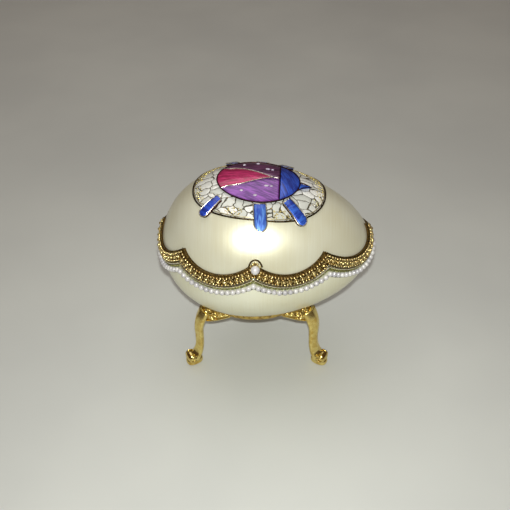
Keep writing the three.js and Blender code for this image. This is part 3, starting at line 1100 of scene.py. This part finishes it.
@dataclass
class Beetle:
    """The raised enamel beetle: wedge, wing cases, head, snout, legs and their silver outlines."""

    form: EggForm
    x: float = -3.0 * MM
    y: float = -0.8 * MM
    half_length: float = 15.7 * MM
    half_width: float = 12.5 * MM
    head_line: float = 8.1 * MM
    wedge_tip: float = 5.6 * MM
    wedge_slope: float = 0.32
    wedge_bulge: float = 0.3
    wedge_run: float = 17 * MM
    wing_tail: float = -14.2 * MM
    gap: float = 0.12 * MM
    snout_overlap: float = 0.4 * MM
    snout_length: float = 4.1 * MM
    corner_power: float = 0.5
    dot_thick: float = 0.3 * MM
    dot_plan: tuple[tuple[float, float, float, float], ...] = (
        (-5.9, -8.1, 0.66, 0.64),
        (-0.8, -10.0, 0.78, 0.76),
        (3.2, -5.3, 1.0, 0.62),
        (5.0, -5.2, 0.66, 0.62),
    )
    lift: float = 1.4 * MM
    thick: float = 0.86 * MM
    wire: float = 0.24 * MM
    limbs: tuple[Limb, ...] = (
        Limb("rear", "near", (-14.0, -9.9), (-20.6, -15.0), (1.4, 1.85), Paint.BLUE_REAR),
        Limb("middle", "near", (1.1, -13.1), (1.9, -21.5), (2.3, 2.35), Paint.BLUE_MIDDLE_LIT),
        Limb("front", "near", (10.8, -10.1), (18.0, -16.4), (1.75, 2.1), Paint.BLUE_FRONT),
        Limb("rear", "far", (-9.2, 10.9), (-13.0, 17.6), (1.4, 1.85), Paint.BLUE_REAR),
        Limb("middle", "far", (0.6, 13.1), (1.0, 20.4), (2.1, 2.2), Paint.BLUE_MIDDLE_LIT),
        Limb("front", "far", (8.6, 11.2), (12.2, 17.6), (1.6, 1.9), Paint.BLUE_FRONT),
    )

    def seat_on(self, x: np.ndarray, y: np.ndarray, grow: Any) -> np.ndarray:
        """Return frame points over the beetle's plan, raised off the shell."""
        return self.form.world(self.form.crown(x + self.x, y + self.y, np.asarray(grow)))

    def body_half(self, x: np.ndarray) -> np.ndarray:
        """Return half the body's width."""
        return self.half_width * np.sqrt(np.maximum(1 - (x / self.half_length) ** 2, 0.0))

    def wedge_half(self, x: np.ndarray) -> np.ndarray:
        """Return half the wedge's width: it bulges a little on its way to the tip."""
        run = np.maximum(self.wedge_tip - x, 0.0)
        bulge = np.sin(np.clip(run / self.wedge_run, 0, 1) * math.pi)
        return run * self.wedge_slope * (1 + self.wedge_bulge * bulge)

    def slab(self, start: float, end: float, low: PlanLine, high: PlanLine, raise_by: float = 0.0) -> Mould:
        """Return a cushioned enamel slab between two edges.

        Args:
            start: Lowest x of the slab.
            end: Highest x of the slab.
            low: Lower edge as a function of x.
            high: Upper edge as a function of x.
            raise_by: Added height.

        Returns:
            The closed slab.
        """

        def place(along: np.ndarray, run: np.ndarray) -> np.ndarray:
            """Run round the slab's rounded section."""
            share = (1 - np.cos(along * math.pi)) / 2
            x = start + (end - start) * share
            bottom, top = low(x), high(x)
            angle = run * TAU
            cross = squared(np.cos(angle), self.corner_power)
            height = squared(np.sin(angle), self.corner_power)
            reach_end = np.minimum(x - start, end - x) / (0.5 * MM)
            closing = np.sqrt(np.clip(1 - np.clip(1 - reach_end, 0, 1) ** 2, 0, 1))
            y = (bottom + top) / 2 + np.maximum(top - bottom, 0) / 2 * cross
            grow = self.lift + raise_by + self.thick / 2 * height * closing
            return self.seat_on(x, y, grow)

        return Mould().sheet(48, 40, place).weld()

    def outline(self, x: np.ndarray, y: np.ndarray, closed: bool, grow: float = 0.0) -> Mould:
        """Return a silver wire along plan places."""
        height = self.lift + self.thick * 0.32 + grow
        return Mould().tube(self.seat_on(x, y, np.full(len(x), height)), self.wire, 8, closed)

    def add(self, mould: Mould, name: str, paint: Paint, slot: str, nodes: Sequence[str]) -> None:
        """Dress a finished enamel mould, making each paint's material only once."""
        known = bpy.data.materials.get(paint.value.name)
        mould.piece(name, known or paint.value.make(), slot, nodes)

    def body(self) -> None:
        """Make the wedge, the wing cases and the head."""
        gap = self.gap

        def edge(x: np.ndarray) -> np.ndarray:
            """Give the body's edge, drawn in by the gap."""
            return self.body_half(x) - gap

        def wedge_side(x: np.ndarray) -> np.ndarray:
            """Give the wedge's side."""
            return np.minimum(edge(x), self.wedge_half(x) - gap)

        def wing_side(x: np.ndarray) -> np.ndarray:
            """Give the wing case's side along the wedge."""
            return np.minimum(self.wedge_half(x) + gap, edge(x))

        def brow(x: np.ndarray) -> np.ndarray:
            """Give the head's side."""
            return np.maximum(edge(x), 0.0)

        wedge_end = self.wedge_tip - 0.5 * MM
        wedge = self.slab(gap - self.half_length, wedge_end, mirrored(wedge_side), wedge_side)
        self.add(wedge, "beetle_wedge", Paint.CRIMSON, "crimson_enamel", ["back_wedge"])
        wing_end = self.head_line - gap
        near = self.slab(self.wing_tail, wing_end, mirrored(edge), mirrored(wing_side))
        self.add(near, "beetle_wing_near", Paint.PURPLE, "purple_enamel", ["wing_case_near"])
        far = self.slab(self.wing_tail, wing_end, wing_side, edge)
        self.add(far, "beetle_wing_far", Paint.PLUM, "plum_enamel", ["wing_case_far"])
        head = self.slab(self.head_line + gap, self.half_length - gap, mirrored(brow), brow)
        self.add(head, "beetle_head", Paint.BLUE_HEAD, "blue_enamel", ["head"])

    def snout(self) -> None:
        """Make the small pointed snout."""
        base = self.half_length - self.snout_overlap
        tip = self.half_length + self.snout_length

        def low(x: np.ndarray) -> np.ndarray:
            """Give the snout's near edge."""
            run = np.clip((x - base) / (tip - base), 0, 1)
            return (-4.1 + 3.6 * run**0.8) * MM

        def high(x: np.ndarray) -> np.ndarray:
            """Give the snout's far edge."""
            run = np.clip((x - base) / (tip - base), 0, 1)
            return (-0.1 - 0.35 * run + 0.4 * run * (1 - run)) * MM

        made = self.slab(base, tip, low, high, -0.12 * MM)
        self.add(made, "beetle_snout", Paint.BLUE_FRONT, "blue_enamel", ["snout"])

    def snout_line(self) -> np.ndarray:
        """Return the outline of the snout in plan, from the head round its point and back."""
        a = self.half_length
        corners = ((-0.9, -4.6), (0.9, -2.6), (4.3, -0.5), (1.6, 0.2), (-0.1, 0.2))
        return np.array([[a + x * MM, y * MM] for x, y in corners])

    def limb_slab(self, limb: Limb) -> tuple[Mould, Mould, Mould]:
        """Return one leg, its dark bed and its silver outline; the bed's dark border round the leg is
        painted shadow.

        Args:
            limb: The leg's plan.

        Returns:
            The enamel, the bed and the outline.
        """
        start = np.array(limb.root) * MM
        end = np.array(limb.tip) * MM
        run_length = float(np.linalg.norm(end - start))
        along = (end - start) / run_length
        side = np.array([-along[1], along[0]])

        def half_at(t: np.ndarray, margin: float) -> np.ndarray:
            """Give the half width: a straight taper with a round tip."""
            width = (limb.half[0] + (limb.half[1] - limb.half[0]) * t) * MM + margin
            tip_run = np.clip((t * run_length - (run_length - width)) / width, 0, 1)
            return width * np.sqrt(np.maximum(1 - tip_run**2, 0.0))

        def skin(margin: float, low: float, high: float) -> Mould:
            """Give a rounded slab of the leg."""

            def place(share: np.ndarray, run: np.ndarray) -> np.ndarray:
                """Run round the leg's section."""
                t = (1 - np.cos(share * math.pi)) / 2
                angle = run * TAU
                cross = squared(np.cos(angle), self.corner_power)
                height = squared(np.sin(angle), self.corner_power)
                closing = np.sqrt(np.clip(1 - np.clip(1 - t * run_length / (0.4 * MM), 0, 1) ** 2, 0, 1))
                spot = start + np.outer(t * run_length, along) + np.outer(half_at(t, margin) * cross, side)
                grow = (low + high) / 2 + (high - low) / 2 * height * closing
                return self.seat_on(spot[:, 0], spot[:, 1], grow)

            return Mould().sheet(36, 24, place).weld()

        t = (1 - np.cos(np.linspace(0, 1, 40) * math.pi)) / 2
        spots = start + np.outer(t * run_length, along)
        off = np.outer(half_at(t, 0.02 * MM), side)
        loop = np.vstack([spots + off, (spots - off)[::-1][1:-1]])
        enamel = skin(-0.15 * MM, 0.4 * MM, self.lift + self.thick * 0.42)
        bed = skin(0.3 * MM, 0.02 * MM, self.lift - 0.2 * MM)
        return enamel, bed, self.outline(loop[:, 0], loop[:, 1], True, -0.05 * MM)

    def build(self) -> None:
        """Make and dress the whole beetle."""
        self.body()
        self.snout()
        silver = Wire("beetle_silver_wire", rgb(232, 228, 214), rgb(170, 164, 146), 0.2).make()
        # Dark beds and lines round the legs and body: partly the inlay's dark outline, partly painted
        # shadow.
        dark = Wire("beetle_dark_bed", rgb(74, 40, 40), rgb(30, 14, 18), 0.4).make()
        wires, beds = Mould(), Mould()
        for limb in self.limbs:
            enamel, bed, wire = self.limb_slab(limb)
            title = f"beetle_{limb.name}_leg_{limb.side}"
            self.add(enamel, title, limb.paint, "blue_enamel", [f"leg_{limb.name}_{limb.side}"])
            beds.put(bed, Matrix())
            wires.put(wire, Matrix())
        angle = np.linspace(0, TAU, 200, endpoint=False)
        a, b = self.half_length, self.half_width
        beds.put(self.outline(a * np.cos(angle), b * np.sin(angle), True, 0.06 * MM), Matrix())
        xs = np.linspace(-13.9 * MM, self.wedge_tip, 50)
        for sign in (-1, 1):
            wires.put(self.outline(xs, sign * self.wedge_half(xs), False), Matrix())
        ridge = np.linspace(self.wedge_tip, self.head_line - 0.4 * MM, 10)
        wires.put(self.outline(ridge, 0 * ridge, False), Matrix())
        reach = float(self.body_half(np.array([self.head_line]))[0])
        ys = np.linspace(-reach, reach, 50)
        beds.put(self.outline(0 * ys + self.head_line, ys, False, 0.06 * MM), Matrix())
        point = self.snout_line()
        beds.put(self.outline(point[:, 0], point[:, 1], False, 0.03 * MM), Matrix())
        wires.weld(1e-7).piece("beetle_outlines", silver, "silver_wire")

        def bed_place(turn_share: np.ndarray, run: np.ndarray) -> np.ndarray:
            """Give the dark oval under the body, a little wider than it; its rim is partly dark outline,
            partly painted shadow.
            """
            spread = np.where(run < 0.5, run * 2, (1 - run) * 2)
            c, s = np.cos(turn_share * TAU), np.sin(turn_share * TAU)
            grow = np.where(run < 0.5, self.lift - 0.25 * MM, 0.02 * MM)
            return self.seat_on((a + 0.4 * MM) * spread * c, (b + 0.4 * MM) * spread * s, grow)

        beds.put(Mould().sheet(120, 24, bed_place).weld(), Matrix())
        beds.weld(1e-7).piece("beetle_bed", dark, "dark_wire")
        self.dots()

    def dots(self) -> None:
        """Make the silver dots on the wing cases."""
        mould = Mould()
        ball = bead(14, 9)
        for x, y, long, wide in self.dot_plan:
            for mirror in (1, -1):
                place = np.array([[x, y * mirror]]) * MM
                spot = self.seat_on(place[:, 0], place[:, 1], [self.lift + self.thick * 0.46])[0]
                mould.put(ball, seat(spot, np.eye(3), (long * MM, wide * MM, self.dot_thick)))
        lustre = PearlSkin("dot_lustre", rgb(222, 214, 224), rgb(176, 164, 186)).make()
        mould.weld(1e-9).piece("beetle_dots", lustre, "silver_wire")


# ---------------------------------------------------------------- stand


@dataclass
class Stand:
    """The gilt stand: collar, knees with scrollwork, cabriole legs and rolled feet."""

    form: EggForm
    twist: float = math.radians(2.6)
    x: float = -4.2 * MM
    collar_radius: float = 20 * MM
    collar_thick: float = 1.8 * MM
    collar_depth: float = 2.0 * MM
    knee_reach: float = 4.9 * MM
    knee_depth: float = 8.0 * MM
    knee_spread: float = 27.0
    leg_azimuths: tuple[float, ...] = (90.0, 210.0, 330.0)
    leg_turns: tuple[float, ...] = (0.0, -5.0, -15.0)
    leg_thick: float = 3.8 * MM
    leg_width: float = 5.3 * MM
    roll_radius: float = 2.15 * MM
    roll_place: tuple[float, float] = (33.2 * MM, 3.95 * MM)
    pad_place: tuple[float, float] = (31.9 * MM, 1.75 * MM)
    pad_half: tuple[float, float, float] = (3.7 * MM, 2.6 * MM, 1.95 * MM)
    toe_half_width: float = 2.5 * MM
    scrolls: tuple[tuple[float, float, float, float], ...] = (
        (2.4, 2.5, 1.7, 1.5),
        (4.9, 2.9, 1.3, 1.4),
        (7.0, 1.9, 0.95, 1.3),
        (3.7, 5.3, 1.15, 1.3),
        (8.7, 1.3, 0.65, 1.2),
    )
    bosses: tuple[tuple[float, float], ...] = ((0.1, 0.6), (0.42, 0.75), (0.66, 0.62))
    leg_line: tuple[tuple[float, float, float, float], ...] = (
        (25.6, 28.5, 1.35, 1.1),
        (27.6, 24.6, 1.25, 1.1),
        (28.6, 20.5, 1.1, 1.0),
        (28.6, 15.5, 0.95, 0.95),
        (28.8, 10.5, 0.95, 0.95),
        (29.8, 6.6, 1.05, 1.05),
        (31.8, 3.4, 1.2, 1.3),
    )

    def world(self, local: np.ndarray) -> np.ndarray:
        """Turn and move points from the stand's own axis to the frame."""
        c, s = math.cos(self.twist), math.sin(self.twist)
        x = local[:, 0] * c - local[:, 1] * s + self.x + self.form.centre[0]
        y = local[:, 0] * s + local[:, 1] * c + self.form.centre[1]
        return np.stack([x, y, local[:, 2]], axis=1)

    def underside(self, x: np.ndarray, y: np.ndarray) -> np.ndarray:
        """Return the height of the egg's underside over plan places of the stand."""
        c, s = math.cos(self.twist), math.sin(self.twist)
        turned_x, turned_y = x * c - y * s, x * s + y * c
        radius = self.form.radius(turned_x + self.x, 0.02 * MM)
        return self.form.centre[2] - np.sqrt(np.maximum(radius**2 - turned_y**2, 0.0))

    def swell(self, azimuth: np.ndarray) -> np.ndarray:
        """Return how strongly the knees swell the collar at azimuths in degrees."""
        gaps = [np.abs((azimuth - leg + 540) % 360 - 180) for leg in self.leg_azimuths]
        share = np.clip(1 - np.minimum.reduce(gaps) / self.knee_spread, 0, 1)
        return share * share * (3 - 2 * share) * 0.45 + share * 0.55

    def at(self, azimuth: np.ndarray, radius: np.ndarray, drop: np.ndarray) -> np.ndarray:
        """Return frame points at an azimuth and radius, below the egg's underside by `drop`."""
        angle = np.radians(azimuth)
        x, y = radius * np.cos(angle), radius * np.sin(angle)
        return self.world(np.stack([x, y, self.underside(x, y) - drop], axis=1))

    def face(self, azimuth: np.ndarray, down: np.ndarray, proud: Any) -> np.ndarray:
        """Return points on the collar's outer face.

        Args:
            azimuth: Degrees round the stand.
            down: 0 at the top edge to 1 at the lower edge.
            proud: Height off the face.

        Returns:
            Frame points.
        """
        swell = self.swell(azimuth)
        outer = self.collar_radius + self.knee_reach * swell
        depth = self.collar_depth + self.knee_depth * swell
        bulge = 1.4 * MM * swell * np.sin(np.clip(down, 0, 1) * math.pi * 0.8) / 0.95
        rounding = 0.5 * MM * (down**4) * (1 - swell)
        top = 0.15 * MM
        return self.at(azimuth, outer + bulge - rounding + proud, top + (depth - top) * down)

    def collar(self) -> Mould:
        """Return the collar with its three knees."""

        def place(round_share: np.ndarray, run: np.ndarray) -> np.ndarray:
            """Run down the outer face, under the edge and up the inner side."""
            azimuth = round_share * 360
            swell = self.swell(azimuth)
            outer = self.collar_radius + self.knee_reach * swell
            depth = self.collar_depth + self.knee_depth * swell
            inner = outer - self.collar_thick - 1.6 * MM * swell
            down = np.clip(run / 0.55, 0, 1)
            front = self.face(azimuth, down, 0.0)
            up = np.clip((run - 0.55) / 0.45, 0, 1)
            low_inner = self.collar_depth - 0.3 * MM + (depth - self.collar_depth) * 0.7
            inside = self.at(azimuth, inner, low_inner * (1 - np.clip((up - 0.25) / 0.6, 0, 1)))
            lower = self.face(azimuth, np.ones_like(azimuth), 0.0)
            upper = self.face(azimuth, np.zeros_like(azimuth), 0.0)
            to_inner = np.clip(up / 0.25, 0, 1)[:, None]
            back = lower * (1 - to_inner) + inside * to_inner
            to_top = np.clip((up - 0.85) / 0.15, 0, 1)[:, None]
            back = back * (1 - to_top) + upper * to_top
            return np.where((run <= 0.55)[:, None], front, back)

        return Mould().sheet(360, 40, place).weld()

    def scroll(
        self, leg: float, arc: float, drop: float, size: float, turns: float, flip: int
    ) -> np.ndarray:
        """Return a spiral laid on a knee's face.

        Args:
            leg: Azimuth of the leg in degrees.
            arc: Sideways place of the spiral's eye from the leg, in millimetres.
            drop: Place below the top edge, in millimetres.
            size: Outer radius of the spiral in millimetres.
            turns: How many turns it makes.
            flip: 1 or -1 for its hand.

        Returns:
            Frame points along the spiral.
        """
        t = np.linspace(0, 1, 34)
        radius = size * (1 - 0.86 * t)
        angle = TAU * turns * t
        side = arc + flip * radius * np.cos(angle)
        fall = drop + radius * np.sin(angle)
        azimuth = leg + np.degrees(side * MM / (self.collar_radius + self.knee_reach * 0.5))
        depth = self.collar_depth + self.knee_depth * self.swell(azimuth)
        return self.face(azimuth, np.clip(fall * MM / depth, 0.02, 0.98), 0.22 * MM)

    def scrollwork(self) -> Mould:
        """Return the raised scrolls, beads and borders of the three knees."""
        mould = Mould()
        ball = bead(10, 7)
        for leg in self.leg_azimuths:
            for hand in (-1, 1):
                for arc, drop, size, turns in self.scrolls:
                    line = self.scroll(leg, hand * arc, drop, size, turns, hand)
                    mould.tube(line, np.linspace(0.42, 0.24, len(line)) * MM, 7)
                    mould.put(ball, seat(line[-1], np.eye(3), [0.42 * MM] * 3))
                border = leg + hand * np.linspace(1.0, self.knee_spread - 1, 40)
                mould.tube(self.face(border, np.full(40, 0.95), 0.12 * MM), 0.38 * MM, 8)
                mould.tube(self.face(border, np.full(40, 0.05), 0.05 * MM), 0.32 * MM, 8)
            for down, size in self.bosses:
                spot = self.face(np.array([leg]), np.array([down]), 0.3 * MM)[0]
                mould.put(ball, seat(spot, np.eye(3), [size * MM] * 3))
        return mould

    def legs(self) -> Mould:
        """Return the three legs with their rolled feet."""
        line = np.array(self.leg_line)
        knots = np.linspace(0, 1, len(line))
        fine = np.linspace(0, 1, 49)
        smooth = np.stack([self.curve(knots, line[:, k], fine) for k in range(4)], axis=1)
        spots = np.stack([smooth[:, 0], 0 * fine, smooth[:, 1]], axis=1) * MM
        heading = unit(np.gradient(spots, axis=0))
        out = np.stack([-heading[:, 2], 0 * fine, heading[:, 0]], axis=1)
        mould = Mould()
        for azimuth, lean in zip(self.leg_azimuths, self.leg_turns):
            turn, twist = math.radians(azimuth), math.radians(lean)
            spin = np.array(Matrix.Rotation(-turn, 3, "Z"))

            def place(share: np.ndarray, run: np.ndarray) -> np.ndarray:
                """Give the leg's skin, with a soft ridge down its outer side."""
                row = np.clip(np.rint(share * 50).astype(int) - 1, 0, 48)
                capped = (share > 0.01) & (share < 0.99)
                angle = run * TAU
                keel = 1 + 0.55 * np.maximum(np.cos(angle), 0)
                c, s = np.cos(angle), np.sin(angle)
                thick = self.leg_thick / 2 * smooth[row, 3] * np.sign(c) * np.abs(c) ** keel * capped
                wide = self.leg_width / 2 * smooth[row, 2] * np.sign(s) * np.abs(s) ** keel * capped
                forward = thick * math.cos(twist) - wide * math.sin(twist)
                points = spots[row] + out[row] * forward[:, None]
                points[:, 1] += thick * math.sin(twist) + wide * math.cos(twist)
                points[:, 2] = np.maximum(points[:, 2], 0.0)
                return self.world(points @ spin)

            mould.sheet(50, 28, place)
            self.toe(mould, spin)
        return mould

    @staticmethod
    def curve(knots: np.ndarray, values: np.ndarray, fine: np.ndarray) -> np.ndarray:
        """Return values carried smoothly between knots, by the slope at each."""
        slope = np.gradient(values, knots)
        i = np.clip(np.searchsorted(knots, fine, side="right") - 1, 0, len(knots) - 2)
        h = knots[i + 1] - knots[i]
        t = (fine - knots[i]) / h
        a, b = values[i], values[i + 1]
        first = (2 * t**3 - 3 * t**2 + 1) * a + (t**3 - 2 * t**2 + t) * h * slope[i]
        return first + (-2 * t**3 + 3 * t**2) * b + (t**3 - t**2) * h * slope[i + 1]

    def toe(self, mould: Mould, spin: np.ndarray) -> None:
        """Add one foot: a cushion pad on the floor, and a roll with a spiral on each cheek."""
        reach_out, height = self.roll_place
        half_long, half_wide, half_high = self.pad_half

        def pad(turn_share: np.ndarray, run: np.ndarray) -> np.ndarray:
            """Give the pad's skin, flat where it meets the floor."""
            tilt = (run - 0.5) * math.pi
            c, s, rise = np.cos(turn_share * TAU), np.sin(turn_share * TAU), np.sin(tilt)
            spread = np.cos(tilt) ** 0.6
            x = self.pad_place[0] + half_long * spread * squared(c, 0.75)
            y = half_wide * spread * squared(s, 0.75)
            z = self.pad_place[1] + half_high * squared(rise, 0.75)
            return self.world(np.stack([x, y, np.maximum(z, 0.0)], axis=1) @ spin)

        def roll(turn_share: np.ndarray, run: np.ndarray) -> np.ndarray:
            """Give the roll's skin from cheek to cheek."""
            across = -np.cos(run * math.pi)
            radius = self.roll_radius * np.sqrt(np.maximum(1 - np.abs(across) ** 5, 0.0))
            angle = turn_share * TAU
            x = reach_out + radius * np.cos(angle)
            z = height + radius * np.sin(angle)
            return self.world(np.stack([x, across * self.toe_half_width, z], axis=1) @ spin)

        mould.sheet(40, 20, pad)
        mould.sheet(40, 20, roll)
        for side in (-1, 1):
            t = np.linspace(0, 1, 44)
            radius = self.roll_radius * (0.98 - 0.8 * t)
            angle = math.radians(190) - TAU * 1.5 * t
            y = np.full(44, side * (self.toe_half_width - 0.12 * MM))
            x, z = reach_out + radius * np.cos(angle), height + radius * np.sin(angle)
            path = np.stack([x, y, z], axis=1)
            mould.tube(self.world(path @ spin), np.linspace(0.36, 0.24, 44) * MM, 7)

    def build(self) -> None:
        """Make and dress the stand."""
        cast = Gold.CAST.value.make()
        # The collar gets the darker gold, painted shade of the recesses round the scrollwork.
        self.collar().piece("stand_collar", Gold.CAST_PAINTED_SHADE.value.make(), "gilt_stand", ["stand"])
        self.scrollwork().weld(1e-8).piece("stand_scrollwork", cast, "gilt_stand")
        self.legs().weld(1e-6).piece("stand_legs", cast, "gilt_stand")


# ---------------------------------------------------------------- table, light, camera


@dataclass(frozen=True)
class Lamp:
    """A square soft lamp."""

    name: str
    size: float
    power: float
    colour: tuple[float, float, float]


@dataclass
class Studio:
    """The plain table, the lamps and the camera."""

    form: EggForm
    distance: float = 0.3
    elevation: float = math.radians(38)
    azimuth: float = math.radians(2.64)
    lens: float = 50.99
    sensor: float = 36.0
    nearest: float = 0.01
    shift: tuple[float, float] = (-0.0221, -0.0267)
    front_lamp: Lamp = Lamp("front_lamp", 0.005, 0.8, (0.985, 1.0, 0.975))
    front_lamp_off_eye: tuple[float, float, float] = (0.0, 0.006, 0.009)
    overhead_lamp: Lamp = Lamp("overhead_lamp", 0.8, 2.6, (1.0, 0.98, 0.95))
    overhead_place: tuple[float, float, float] = (-0.08, 0.25, 0.8)
    table_half: float = 3.0
    table_drop: float = 0.2 * MM
    room_below: Colour = (0.2, 0.1, 0.06, 1)
    room_above: Colour = (0.5, 0.33, 0.24, 1)
    room_above_from: float = 0.9
    room_strength: float = 0.22

    def towards_camera(self) -> Vector:
        """Return the unit direction from the egg to the camera."""
        flat, rise = math.cos(self.elevation), math.sin(self.elevation)
        return Vector((math.sin(self.azimuth) * flat, -math.cos(self.azimuth) * flat, rise))

    def hang(self, lamp: Lamp, spot: Vector) -> None:
        """Hang a lamp at a spot and aim it at the egg."""
        light = bpy.data.lights.new(lamp.name, "AREA")
        light.size = lamp.size
        light.energy = lamp.power
        light.color = lamp.colour
        made = bpy.data.objects.new(lamp.name, light)
        made.location = spot
        made.rotation_mode = "QUATERNION"
        made.rotation_quaternion = (Vector(self.form.centre) - spot).to_track_quat("-Z", "Y")
        bpy.context.scene.collection.objects.link(made)

    def table(self) -> None:
        """Make the table top, a hair below the feet."""
        mesh = bpy.data.meshes.new("table_top")
        bm = bmesh.new()
        below = Matrix.Translation((0.0, 0.0, -self.table_drop))
        bmesh.ops.create_grid(bm, x_segments=4, y_segments=4, size=self.table_half, matrix=below)
        bm.to_mesh(mesh)
        bm.free()
        mesh.materials.append(PlainTable().make())
        made = bpy.data.objects.new("table_top", mesh)
        bpy.context.scene.collection.objects.link(made)

    def world(self) -> None:
        """Make the room's even light, paler above than below."""
        room = bpy.data.worlds.new("room")
        room.use_nodes = True
        nodes, links = room.node_tree.nodes, room.node_tree.links
        nodes.clear()
        out = nodes.new("ShaderNodeOutputWorld")
        back = nodes.new("ShaderNodeBackground")
        ramp = nodes.new("ShaderNodeValToRGB")
        split = nodes.new("ShaderNodeSeparateXYZ")
        coord = nodes.new("ShaderNodeTexCoord")
        links.new(coord.outputs["Generated"], split.inputs[0])
        links.new(split.outputs["Z"], ramp.inputs[0])
        links.new(ramp.outputs[0], back.inputs[0])
        links.new(back.outputs[0], out.inputs[0])
        below, above = ramp.color_ramp.elements
        below.position, above.position = 0.0, self.room_above_from
        below.color, above.color = self.room_below, self.room_above
        back.inputs[1].default_value = self.room_strength
        bpy.context.scene.world = room

    def camera(self) -> None:
        """Place the camera."""
        data = bpy.data.cameras.new("camera")
        data.lens = self.lens
        data.sensor_width = self.sensor
        data.shift_x, data.shift_y = self.shift
        data.clip_start = self.nearest
        made = bpy.data.objects.new("camera", data)
        back = self.towards_camera()
        made.location = Vector(self.form.centre) + back * self.distance
        made.rotation_mode = "QUATERNION"
        made.rotation_quaternion = (-back).to_track_quat("-Z", "Y")
        bpy.context.scene.collection.objects.link(made)
        bpy.context.scene.camera = made

    def build(self) -> None:
        """Set up table, lamps, room and camera."""
        self.table()
        eye = Vector(self.form.centre) + self.towards_camera() * self.distance
        self.hang(self.front_lamp, eye + Vector(self.front_lamp_off_eye))
        self.hang(self.overhead_lamp, Vector(self.overhead_place))
        self.world()
        self.camera()
        bpy.context.scene.view_settings.view_transform = "Standard"


def main() -> None:
    """Build every sub-assembly in order, after noting the egg's centre."""
    logging.basicConfig(level=logging.INFO, format="%(name)s %(message)s")
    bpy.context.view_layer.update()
    form = EggForm.from_frame()
    LOG.info("egg centre %s", [round(v / MM, 3) for v in form.centre])
    EggShell(form).build()
    BowlTrim(form).build()
    LidTrim(form).build()
    Panel(form).build()
    Beetle(form).build()
    Stand(form).build()
    Studio(form).build()


if __name__ == "__main__":
    main()
